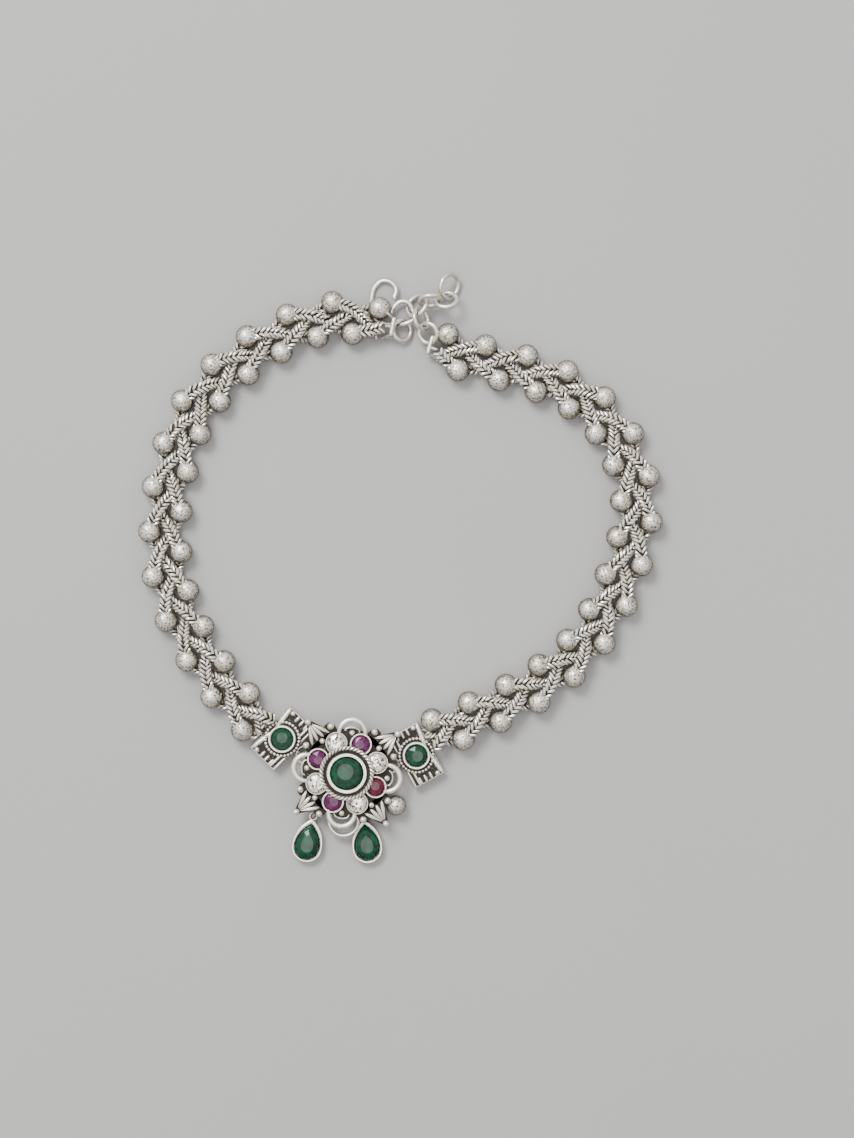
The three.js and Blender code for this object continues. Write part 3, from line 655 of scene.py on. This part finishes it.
def leaf(length, width, height, rows=12):
    """A pointed leaf along x, round at its start, with a groove along its middle."""
    rings = []
    for k in range(rows + 1):
        t = k / rows
        swell = math.sin(math.pi * t) ** LEAF_FORM["ends"] * (1 - LEAF_FORM["taper"] * t)
        spread = max(swell, LEAF_FORM["least"])
        section = []
        for i in range(LEAF_FORM["points"] + 1):
            turn = math.pi * i / LEAF_FORM["points"]
            groove = LEAF_GROOVE["depth"] * math.exp(-((turn - math.pi / 2) / LEAF_GROOVE["width"]) ** 2)
            rise = max(math.sin(turn), 0) ** LEAF_FORM["crown"] - groove
            section.append((length * t, -width / 2 * spread * math.cos(turn), height * spread * rise))
        rings.append(section)
    return loft(rings)


def slab(outline, bottom, top, bevel=0.12):
    """A plate with its upper edge bevelled."""
    outline = np.asarray(outline, float)
    middle = outline.mean(0)
    reach = np.linalg.norm(outline - middle, axis=1)[:, None]
    inner = middle + (outline - middle) * (1 - bevel / reach)

    def ring(points, level):
        return np.column_stack([points, np.full(len(points), level)])

    return loft([ring(outline, bottom), ring(outline, top - bevel), ring(inner, top)])


# Curves

class Route:
    """A line of close points, measured along its length."""

    def __init__(self, samples, reach=0.1):
        self.samples = np.array(samples)
        self.reach = reach
        steps = np.linalg.norm(np.diff(self.samples, axis=0), axis=1)
        self.lengths = np.concatenate([[0], np.cumsum(steps)])
        self.span = self.lengths[-1]

    def place(self, distance):
        return np.array([np.interp(distance, self.lengths, self.samples[:, i]) for i in range(3)])

    def along(self, distance):
        low, high = max(distance - self.reach, 0), min(distance + self.reach, self.span)
        way = self.place(high) - self.place(low)
        return way / np.linalg.norm(way)

    def ways(self, distance):
        """The ways along, across and up at a distance."""
        way = self.along(distance)
        across = np.cross([0, 0, 1], way)
        across /= np.linalg.norm(across)
        return way, across, np.cross(way, across)


def smooth(points, count=1600):
    """A route along a smooth curve through a few points."""
    points = [np.array([*p, 0.0][:3], float) for p in points]
    last = len(points) - 1
    samples = []
    for t in np.arange(count + 1) / count:
        k = min(int(t * last), last - 1)
        w = t * last - k
        p1, p2 = points[k], points[k + 1]
        p0 = points[k - 1] if k > 0 else 2 * points[0] - points[1]
        p3 = points[k + 2] if k + 2 <= last else 2 * points[last] - points[last - 1]
        d0, d1, d2 = [np.linalg.norm(b - a) ** 0.5 for a, b in ((p0, p1), (p1, p2), (p2, p3))]
        start = ((p1 - p0) / d0 - (p2 - p0) / (d0 + d1) + (p2 - p1) / d1) * d1
        end = ((p2 - p1) / d1 - (p3 - p1) / (d1 + d2) + (p3 - p2) / d2) * d1
        cubic = 2 * p1 - 2 * p2 + start + end
        square = -3 * p1 + 3 * p2 - 2 * start - end
        samples.append(p1 + w * (start + w * (square + w * cubic)))
    return Route(samples, CURVE_REACH)


# Braids

class Strand:
    def __init__(self, side, number):
        self.middle = smooth(PATHS[side])
        self.braid = BRAIDS[side]
        self.number = number
        self.phase = TURN * number / STRANDS

    def beside(self, distance, reach, rise):
        way = self.middle.along(distance)
        outward = np.array([-way[1], way[0], 0]) * self.braid["outer"]
        place = self.middle.place(distance) + outward * reach
        place[2] = BRAID_LEVEL + rise
        return place

    def at(self, distance):
        braid = self.braid
        swing = TURN * (distance - braid["first"]) / braid["period"] + math.pi / 2 + self.phase
        rise = braid["rise"] * BRAID_RISE * math.sin(2 * swing)
        return self.beside(distance, BRAID_REACH * math.sin(swing), rise)

    def turns(self):
        half = self.braid["period"] / 2
        first = self.braid["first"] - self.braid["period"] * self.number / STRANDS
        k = math.ceil((END_SLACK - first) / half)
        while first + k * half <= self.middle.span:
            kept = min(max(first + k * half, START_CLEARANCE), self.middle.span - END_CLEARANCE)
            yield self.beside(kept, BALL_REACH * (1 if k % 2 == 0 else -1), 0)
            k += 1


def link_loop():
    """One oval loop of chain wire, long along x and standing in the xz plane."""
    points = []
    for k in range(CHAIN["steps"]):
        angle = TURN * (k + 0.5) / CHAIN["steps"]
        ways = (math.cos(angle), math.sin(angle))
        along, up = (math.copysign(abs(way) ** CHAIN["square"], way) for way in ways)
        points.append((CHAIN["half"] * along, 0, CHAIN["rise"] * up))
    return tube(points, [CHAIN["wire"]] * len(points), CHAIN["sides"], closed=True)


def make_strand(side, number):
    strand = Strand(side, number)
    path = Route([strand.at(strand.middle.span * k / STRAND_STEPS) for k in range(STRAND_STEPS + 1)])
    count = int(path.span / CHAIN["pitch"])
    play = np.random.default_rng(STRANDS * len(side) + number)
    mesh = Mesh()
    # Painted shade: a dark core ribbon along the strand, seen through the gaps between the links
    width, thick = CHAIN_SHADE_CORE["width"] / 2, CHAIN_SHADE_CORE["thickness"] / 2
    corners = [(-width, 0), (0, thick), (width, 0), (0, -thick)]
    shade_core = []
    for distance in np.linspace(CHAIN_SHADE_CORE["short"], path.span - CHAIN_SHADE_CORE["short"], count * 2):
        _, across, up = path.ways(distance)
        shade_core.append([path.place(distance) + across * a + up * b for a, b in corners])
    mesh.add(loft(shade_core), SHADE_CORE_SLOT)
    link = link_loop()
    for k in range(count):
        for row, start in CHAIN_ROWS.items():
            distance = (k + start) * path.span / count
            if distance > path.span - CHAIN["short"]:
                continue
            way, across, up = path.ways(distance)
            angle = math.radians(CHAIN["angle"] + play.normal(0, LINK_PLAY["turn"]))
            long = way * math.cos(angle) + across * row * math.sin(angle)
            matrix = np.eye(4)
            matrix[:3, 0] = long
            matrix[:3, 1] = np.cross(up, long)
            matrix[:3, 2] = up
            matrix[:3, 3] = path.place(distance) + across * row * CHAIN["side"]
            matrix[:3, 3] += play.normal(0, LINK_PLAY["shift"], 3)
            matrix = matrix @ spun(play.normal(0, LINK_PLAY["roll"]), "x")
            if not beyond_box(matrix[:3, 3], side):
                mesh.add(link, LINK_SLOT, matrix)
    for centre in strand.turns():
        mesh.add(sphere(BALL_RADIUS, *BALL_MESH), BALL_SLOT, moved(*centre))
    piece = mesh.build(f"braid_{side}_{number + 1}", [LINKS, BALLS, TARNISH_AND_SHADE])
    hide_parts(f"strand_{side}_{number + 1}")


def beyond_box(point, side):
    """Whether a point lies past the braid side of an end box."""
    box = BOXES[side]
    turn = math.radians(box["turn"])
    forward = (point[0] - box["x"]) * math.cos(turn) + (point[1] - box["y"]) * math.sin(turn)
    return forward > -BOX["length"] / 2 - BOX_CLEARANCE


# Flower

def polar(x, y):
    return math.degrees(math.atan2(y, x)), math.hypot(x, y)


def on_flower(bearing, distance, level=0.0):
    """From a piece's own frame to a bearing and distance from the flower's centre, in the world."""
    return moved(FLOWER["x"], FLOWER["y"]) @ at_bearing(bearing, distance, level)


def box_meeting(box):
    turn = math.radians(box["turn"])
    x = box["x"] + BOX["length"] / 2 * math.cos(turn) - FLOWER["x"]
    y = box["y"] + BOX["length"] / 2 * math.sin(turn) - FLOWER["y"]
    return polar(x, y)


def drop_ring_place(drop):
    bearing, turn = math.radians(drop["bearing"]), math.radians(drop["turn"])
    x = drop["distance"] * math.cos(bearing) - DROP_EYE["out"] * math.cos(turn)
    y = drop["distance"] * math.sin(bearing) - DROP_EYE["out"] * math.sin(turn)
    place, distance = polar(x, y)
    return place, distance - DROP_RING["radius"] + DROP_RING["overlap"]


def clear_of_ball(point):
    """Moves a point of a plate's outline off the hanging ball."""
    bearing = math.radians(HANGING_BALL["bearing"] - FLOWER["turn"])
    centre = np.array([math.cos(bearing), math.sin(bearing)]) * HANGING_BALL["distance"]
    away = np.array(point) - centre
    distance = np.linalg.norm(away)
    needed = HANGING_BALL["radius"] * BALL_SHARE
    return tuple(centre + away / distance * max(distance, needed))


def fan_outline(bearing):
    right = [(out, -side) for out, side in FAN_OUTLINE]
    left = [(out, side) for out, side in reversed(FAN_OUTLINE)]
    corners = np.array(right + left)
    fine = []
    for a, b in zip(corners, np.roll(corners, -1, 0)):
        fine.extend(a + (b - a) * t for t in np.linspace(0, 1, FAN_STEPS, endpoint=False))
    c, s = math.cos(math.radians(bearing)), math.sin(math.radians(bearing))
    return [clear_of_ball((x * c - y * s, x * s + y * c)) for x, y in fine]


def add_eye(mesh, matrix):
    mesh.add(torus(EYE["radius"], EYE["wire"], *EYE_MESH), BRIGHT, matrix)


def bezel(sizes, inner, foot, floor, edge=BEZEL["edge"], sides=ROUND_SIDES):
    """A round setting: a wall that flares at its foot, with rounded edges, and a floor inside it."""
    outer, top = sizes["outer"], sizes["top"]
    return lathe([
        (outer + BEZEL["flare"], foot), (outer, foot + BEZEL["flare_height"]), (outer, top - edge),
        (outer - edge, top), (inner + edge, top), (inner, top - edge), (inner, floor), (AXIS, floor),
    ], sides)


def add_rope(mesh):
    for start in (0, math.pi):
        points = []
        for k in range(ROPE["steps"]):
            around = TURN * k / ROPE["steps"]
            twist = start + ROPE["turns"] * around
            out = ROPE["radius"] + ROPE["twist"] * math.cos(twist)
            level = ROPE["level"] + ROPE["twist"] * math.sin(twist)
            points.append((out * math.cos(around), out * math.sin(around), level))
        mesh.add(tube(points, [ROPE["wire"]] * len(points), ROPE["sides"], closed=True))


def add_fan(mesh, bearing):
    mesh.add(slab(fan_outline(bearing), PLATE_BOTTOM, PLATE_TOP), DARK)
    seat = PLATE_TOP + GRAIN_SEAT
    mesh.add(dome(SMALL_GRAIN["radius"]), BRIGHT, at_bearing(bearing, SMALL_GRAIN["distance"], seat))
    mesh.add(dome(TIP_GRAIN["radius"]), BRIGHT, at_bearing(bearing, TIP_GRAIN["distance"], seat))
    for side in (-1, 1):
        place = bearing + side * LARGE_GRAIN["spread"]
        mesh.add(dome(LARGE_GRAIN["radius"]), BRIGHT, at_bearing(place, LARGE_GRAIN["distance"], seat))
    length = LEAF["apex"] - LEAF["inner"]
    for k in range(LEAF["count"]):
        place = -1 + 2 * k / (LEAF["count"] - 1)
        side, tip = LEAF["spread"] * place, LEAF["gather"] * place
        reach = math.hypot(length, tip - side)
        lean = math.degrees(math.atan2(tip - side, length))
        shape = leaf(reach, LEAF["width"], LEAF["height"])
        start = moved(LEAF["inner"], side, PLATE_TOP - LEAF_SINK)
        mesh.add(shape, BRIGHT, spun(bearing) @ start @ spun(lean))


def add_arch(mesh, bearing):
    points = arc_points(ARCH["radius"], ARCH["sweep"])
    ends = np.linspace(-1, 1, len(points))
    radii = ARCH["wire"] * (1 - ARCH["taper"] * np.abs(ends) ** 4)
    arch = tube(points, radii, ARCH["sides"])
    mesh.add(arch, BRIGHT, at_bearing(bearing, ARCH["distance"], ARCH["level"]))
    inner = arc_points(INNER_ARC["radius"], INNER_ARC["sweep"]) * (INNER_ARC["flat"], 1, 1)
    wire = tube(inner, [INNER_ARC["wire"]] * len(inner), INNER_ARC["sides"])
    mesh.add(wire, BRIGHT, at_bearing(bearing, INNER_ARC["distance"], INNER_ARC["level"]))
    seat = PLATE_TOP + GRAIN_SEAT
    mesh.add(dome(SMALL_GRAIN["radius"]), BRIGHT, at_bearing(bearing, SMALL_GRAIN["distance"], seat))


def add_plates(mesh):
    """The round back, the dark disc on it, and the sunk ring that the rope lies on."""
    low, high, edge = PLATE_BOTTOM, PLATE_TOP, PLATE_EDGE
    mesh.add(lathe([(AXIS, 0), (BACK_RADIUS - edge, 0), (BACK_RADIUS, edge), (BACK_RADIUS, low)]), BRIGHT)
    disc = [
        (AXIS, low), (DISC_RADIUS - edge, low), (DISC_RADIUS, low + edge), (DISC_RADIUS, high - edge),
        (DISC_RADIUS - edge, high), (AXIS, high),
    ]
    mesh.add(lathe(disc, ROUND_SIDES), DARK)
    flange, inside = ROPE["radius"] + ROPE_FLANGE["out"], CENTRE["outer"] - ROPE_FLANGE["in"]
    ring = zip((inside, flange, flange, inside), ROPE_FLANGE["levels"])
    mesh.add(lathe(ring, ROUND_SIDES), DARK)


def add_eyes(mesh):
    """The loop behind the lower arch, and the eyes that the boxes, the drops and the ball hang on."""
    place = at_bearing(BASE_LOOP["turn"] - FLOWER["turn"], BASE_LOOP["distance"], BASE_LOOP["level"])
    mesh.add(torus(BASE_LOOP["radius"], BASE_LOOP["wire"], LOOP_STEPS), BRIGHT, place)
    upright = spun(90, "x")
    for box in BOXES.values():
        bearing, _ = box_meeting(box)
        add_eye(mesh, at_bearing(bearing - FLOWER["turn"], BACK_RADIUS + EYE_OUT, LINK["level"]) @ upright)
    for drop in DROPS.values():
        bearing, distance = drop_ring_place(drop)
        level = DROP_RING["level"] + DROP_RING["radius"]
        add_eye(mesh, at_bearing(bearing - FLOWER["turn"], distance, level) @ spun(90, "y"))
    distance = HANGING_BALL["distance"] - HANGING_BALL["radius"] - BALL_EYE["out"] - BALL_EYE["radius"]
    place = at_bearing(HANGING_BALL["bearing"] - FLOWER["turn"], distance, BALL_EYE["level"]) @ upright
    mesh.add(torus(BALL_EYE["radius"], BALL_EYE["wire"], *BALL_EYE_MESH), BRIGHT, place)


def make_flower():
    mesh = Mesh()
    add_plates(mesh)
    for k in range(CORNERS):
        add_arch(mesh, QUARTER * k)
        add_fan(mesh, QUARTER * (k + 0.5))
    world = moved(FLOWER["x"], FLOWER["y"]) @ spun(FLOWER["turn"])
    petals = []
    for k in range(PETALS):
        clear = k % 2 == 0
        inner = PETAL["clear" if clear else "purple"]
        place = at_bearing(PETAL_TURN + 360 / PETALS * (k + 0.5), PETAL["distance"])
        floor = PLATE_TOP + PETAL_FORM["floor"]
        mesh.add(bezel(PETAL, inner, PETAL["foot"], floor, PETAL_FORM["edge"], PETAL_SIDES), BRIGHT, place)
        number = k // 2 + 1
        purple = RUBY_RED if number == RED_PETAL else RUBY
        name = f"{'crystal' if clear else 'ruby'}_{number}"
        petals.append((name, inner, PETAL, PETAL_STONE, CRYSTAL if clear else purple, world @ place))
    mesh.add(bezel(CENTRE, CENTRE["inner"], CENTRE["foot"], CENTRE["floor"]))
    add_rope(mesh)
    add_eyes(mesh)
    piece = mesh.build("flower_cast", [CAST, TARNISH_AND_SHADE], world)
    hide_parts("flower_frame")
    make_stone("centre_stone", CENTRE["inner"], CENTRE, CENTRE_STONE, EMERALD, world, CENTRE_FACETS)
    for petal in petals:
        make_stone(*petal)


def make_stone(name, inner, setting, stone, material, matrix, main=8):
    """A round stone, with its girdle below the top of its setting and its table above it."""
    mesh = Mesh()
    girdle, table = setting["top"] - stone["girdle"], setting["top"] + stone["table"]
    mesh.add(brilliant(inner - STONE_GAP, girdle, table, main))
    piece = mesh.build(f"{name}_cut", [material], matrix, flat=True)
    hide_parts(name)
    frame_slot(name)


def frame_slot(node):
    if node.startswith("crystal"):
        return "clear_stone"
    return "purple_stone" if node.startswith("ruby") else "green_stone"


# End boxes

def make_box(side):
    box = BOXES[side]
    mesh = Mesh()
    x, y, top, edge = BOX["length"] / 2, BOX["width"] / 2, BOX["height"], BOX["edge"]
    inner_x, inner_y = x - edge, y - edge
    mesh.add(loft([
        rectangle(inner_x, inner_y, 0), rectangle(x, y, edge), rectangle(x, y, top - edge),
        rectangle(inner_x, inner_y, top),
    ]), BRIGHT)
    inset, rise = BOX_PANEL["inset"], BOX_PANEL["rise"]
    panel_foot = rectangle(inner_x, inner_y, top - rise)
    mesh.add(loft([panel_foot, rectangle(inner_x - inset, inner_y - inset, top + rise)]), DARK)
    outer, level = BOX_FLANGE["outer"], top + BOX_FLANGE["rise"]
    mesh.add(lathe([(outer, top - BOX_FLANGE["below"]), (outer, level), (BOX_FLANGE["inner"], level)]), DARK)
    foot = top - BOX_BEZEL["sink"]
    mesh.add(bezel(BOX_BEZEL, BOX_BEZEL["inner"], foot, BOX_BEZEL["floor"], sides=BOX_SIDES))
    for k in range(BOX_BEADS["count"]):
        place = at_bearing(360 * k / BOX_BEADS["count"], BOX_BEADS["radius"], BOX_BEADS["level"])
        mesh.add(sphere(BOX_BEADS["bead"], *BEAD_MESH), BRIGHT, place)
    for way in (-1, 1):
        shape = bar(BOX_BAR["length"], BOX_BAR["width"], BOX_BAR["height"])
        place = moved(-x + BOX_BAR["inset"], way * BOX_BAR["side"], top - BOX_BAR["sink"])
        mesh.add(shape, BRIGHT, place @ spun(90 + way * BOX_BAR["lean"]))
        for strip in (BOX_RIDGE, BOX_RIB):
            for along in strip["places"]:
                shape = bar(strip["length"], strip["width"], strip["height"])
                place = moved(along, way * (y - strip["length"] / 2), top - STRIP_SINK)
                mesh.add(shape, BRIGHT, place @ spun(90))
        place = moved(BOX_GRAIN["place"], way * (y - BOX_GRAIN["inset"]), top)
        mesh.add(dome(BOX_GRAIN["radius"]), BRIGHT, place)
    bearing, distance = box_meeting(box)
    toward = bearing + 180 - box["turn"]
    add_eye(mesh, moved(x, 0, 0) @ at_bearing(toward, EYE_OUT, LINK["level"]) @ spun(90, "x"))
    world = moved(box["x"], box["y"]) @ spun(box["turn"])
    piece = mesh.build(f"box_cast_{side}", [CAST, TARNISH_AND_SHADE], world)
    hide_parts(f"box_{side}")
    make_stone(f"box_stone_{side}", BOX_BEZEL["inner"], BOX_BEZEL, BOX_STONE, EMERALD, world)
    inner, outer = BACK_RADIUS + EYE_OUT, distance - EYE_OUT
    link = torus((outer - inner) / 2, LINK["wire"])
    wire_piece(f"link_{side}", link, on_flower(bearing, (inner + outer) / 2, LINK["level"]))


def wire_piece(node, shape, matrix):
    mesh = Mesh()
    mesh.add(shape)
    piece = mesh.build(f"{node}_wire", [WIRE], matrix)
    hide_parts(node)


# Drops

def pear(inset, level, steps=20):
    radius = DROP["width"] / 2 - inset
    centre = DROP["length"] - DROP["width"] / 2
    tip = inset * DROP["curve"]
    points = []
    for k in range(steps):
        t = k / steps
        a, b, c = (1 - t) ** 2, 2 * t * (1 - t), t * t
        points.append((a * tip + b * (tip + DROP["curve"]) + c * centre, -(b + c) * radius))
    for k in range(steps + 1):
        angle = -math.pi / 2 + math.pi * k / steps
        points.append((centre + radius * math.cos(angle), radius * math.sin(angle)))
    for k in range(steps - 1, 0, -1):
        x, y = points[k]
        points.append((x, -y))
    return [(x, y, level) for x, y in points]


def make_drop(side):
    drop = DROPS[side]
    wall, top, edge = DROP["wall"], DROP["height"], DROP_EDGE
    setting = Mesh()
    setting.add(loft([
        pear(edge, 0), pear(0, edge), pear(0, top - edge), pear(edge, top), pear(wall - edge, top),
        pear(wall, top - edge), pear(wall, DROP["floor"]),
    ]))
    add_eye(setting, moved(-DROP_EYE["out"], 0, DROP_EYE["level"]))
    world = on_flower(drop["bearing"], drop["distance"]) @ spun(drop["turn"] - drop["bearing"])
    piece = setting.build(f"drop_bezel_{side}", [CAST], world)
    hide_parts(f"drop_setting_{side}")
    middle = DROP["length"] * DROP_STONE["middle"]
    points = []
    for ring in DROP_STONE_RINGS:
        outline = pear(wall + DROP_STONE["gap"], ring["level"])
        outline = outline[ring["first"]:] + outline[:ring["first"]]
        for x, y, z in outline[::DROP_STONE["every"]]:
            points.append(((x - middle) * ring["scale"] + middle, y * ring["scale"], z))
    stone = Mesh()
    stone.add(hull(points))
    piece = stone.build(f"drop_cut_{side}", [EMERALD], world, flat=True)
    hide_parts(f"drop_stone_{side}")
    bearing, distance = drop_ring_place(drop)
    ring = torus(DROP_RING["radius"], DROP_RING["wire"])
    wire_piece(f"drop_ring_{side}", ring, on_flower(bearing, distance, DROP_RING["level"]) @ spun(90, "x"))


def make_hanging_ball():
    mesh = Mesh()
    radius = HANGING_BALL["radius"]
    mesh.add(sphere(radius, *BALL_MESH))
    add_eye(mesh, moved(-radius - BALL_EYE["out"], 0, 0))
    place = on_flower(HANGING_BALL["bearing"], HANGING_BALL["distance"], radius)
    piece = mesh.build("hanging_ball_round", [BALLS], place)
    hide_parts("hanging_ball")


# Clasp

def tilted(x, y, z, heading, tilt):
    return moved(x, y, z) @ spun(heading) @ spun(tilt, "x")


def reaching(start, target):
    """Lays a chain link from one point to another."""
    way = target - start
    length = np.linalg.norm(way)
    matrix = np.eye(4)
    across = np.cross([0, 0, 1], way)
    matrix[:3, 0] = way / length * (length / 2 + CHAIN["wire"]) / CHAIN["half"]
    matrix[:3, 1] = across / np.linalg.norm(across)
    matrix[:3, 2] = np.cross(way / length, matrix[:3, 1])
    matrix[:3, 3] = (start + target) / 2
    return matrix


def add_solder_bar(mesh, end, turn, out):
    """Three rods side by side, which close the end of a braid."""
    reach, rod = SOLDER_BAR["width"] / 2 - SOLDER_BAR["rod"], SOLDER_BAR["rod"]
    points = [(0, side, 0) for side in np.linspace(-reach, reach, SOLDER_BAR["points"])]
    shape = tube(points, [rod] * len(points))
    lift = SOLDER_BAR["height"] / 2 - rod
    for level in (-lift, 0, lift):
        mesh.add(shape, BRIGHT, moved(end[0], end[1], BRAID_LEVEL + level) @ spun(turn) @ moved(out))


def make_clasp():
    for side, (x, y, z, radius, heading, tilt) in END_RINGS.items():
        strands = [Strand(side, number) for number in range(STRANDS)]
        middle = strands[0].middle
        end, way = middle.place(middle.span), middle.along(middle.span)
        across = np.array([-way[1], way[0], 0])
        out = SOLDER_BAR["gap"] + SOLDER_BAR["length"] / 2
        mesh = Mesh()
        add_solder_bar(mesh, end, math.degrees(math.atan2(way[1], way[0])), out)
        mesh.add(torus(radius, CLASP_WIRE), BRIGHT, tilted(x, y, z, heading, tilt))
        for strand in strands:
            start = strand.at(middle.span)
            aside = np.clip((start - end) @ across, -SOLDER_BAR["hold"], SOLDER_BAR["hold"])
            target = end + way * out + across * aside + np.array([0, 0, BRAID_LEVEL])
            mesh.add(link_loop(), BRIGHT, reaching(start, target))
        piece = mesh.build(f"end_ring_{side}_wire", [WIRE])
        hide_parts(f"end_ring_{side}")
    for k, (x, y, z, radius, heading, tilt) in enumerate(EXTENDER):
        wire_piece(f"extender_{k + 1}", torus(radius, CLASP_WIRE), tilted(x, y, z, heading, tilt))
    hook = smooth(HOOK_PATH, HOOK_SAMPLES)
    points = [hook.place(hook.span * k / HOOK_STEPS) for k in range(HOOK_STEPS + 1)]
    wire_piece("s_hook", tube(points, [CLASP_WIRE] * len(points)), np.eye(4))


# Studio

def make_floor():
    material, shader = new_material("floor")
    nodes = Nodes(material)
    shade = nodes.mix(nodes.noise(FLOOR["patch"], 1), FLOOR_DARK, FLOOR_LIGHT)
    nodes.link(shade, shader.inputs["Base Color"])
    shader.inputs["Roughness"].default_value = FLOOR["roughness"]
    data = bpy.data.meshes.new("floor")
    data.from_pydata(rectangle(FLOOR["half"], FLOOR["half"], 0), [], [(0, 1, 2, 3)])
    data.materials.append(material)
    floor = bpy.data.objects.new("floor", data)
    floor.location.z = -FLOOR["drop"]
    bpy.context.scene.collection.objects.link(floor)


def make_light(name, place, size, power, target):
    data = bpy.data.lights.new(name, "AREA")
    data.shape = "RECTANGLE"
    data.size, data.size_y = size
    data.energy = power
    light = bpy.data.objects.new(name, data)
    light.location = place
    way = np.array(target) - np.array(place)
    lean = math.acos(-way[2] / np.linalg.norm(way))
    light.rotation_euler = (lean, 0, math.atan2(way[1], way[0]) - math.pi / 2)
    bpy.context.scene.collection.objects.link(light)


def make_studio():
    make_floor()
    for name, light in LIGHTS.items():
        make_light(name, **light)
    world = bpy.data.worlds.new("studio")
    world.use_nodes = True
    tree = world.node_tree
    background = tree.nodes["Background"]
    height = tree.nodes.new("ShaderNodeVectorMath")
    height.operation = "DOT_PRODUCT"
    height.inputs[1].default_value = SKY_WAY
    tree.links.new(tree.nodes.new("ShaderNodeTexCoord").outputs["Generated"], height.inputs[0])
    sky = tree.nodes.new("ShaderNodeValToRGB")
    for element, (position, colour) in zip(sky.color_ramp.elements, SKY_STOPS):
        element.position = position
        element.color = (*colour, 1)
    tree.links.new(height.outputs["Value"], sky.inputs["Fac"])
    tree.links.new(sky.outputs["Color"], background.inputs["Color"])
    background.inputs["Strength"].default_value = SKY_STRENGTH
    bpy.context.scene.world = world


def make_camera():
    data = bpy.data.cameras.new("photo")
    data.sensor_fit = "VERTICAL"
    data.sensor_height = SENSOR_HEIGHT
    data.lens = data.sensor_height * CAMERA_HEIGHT / PHOTO_HEIGHT_MM
    data.clip_start = CLIP_START
    camera = bpy.data.objects.new("photo", data)
    camera.location = ((PHOTO_CENTRE[0] - MIDDLE[0]) * MM, PHOTO_CENTRE[1] * MM, CAMERA_HEIGHT * MM)
    bpy.context.scene.collection.objects.link(camera)
    bpy.context.scene.camera = camera


for braid_side in BRAIDS:
    for strand_number in range(STRANDS):
        make_strand(braid_side, strand_number)
make_flower()
for box_side in BOXES:
    make_box(box_side)
for drop_side in DROPS:
    make_drop(drop_side)
make_hanging_ball()
make_clasp()
make_studio()
make_camera()
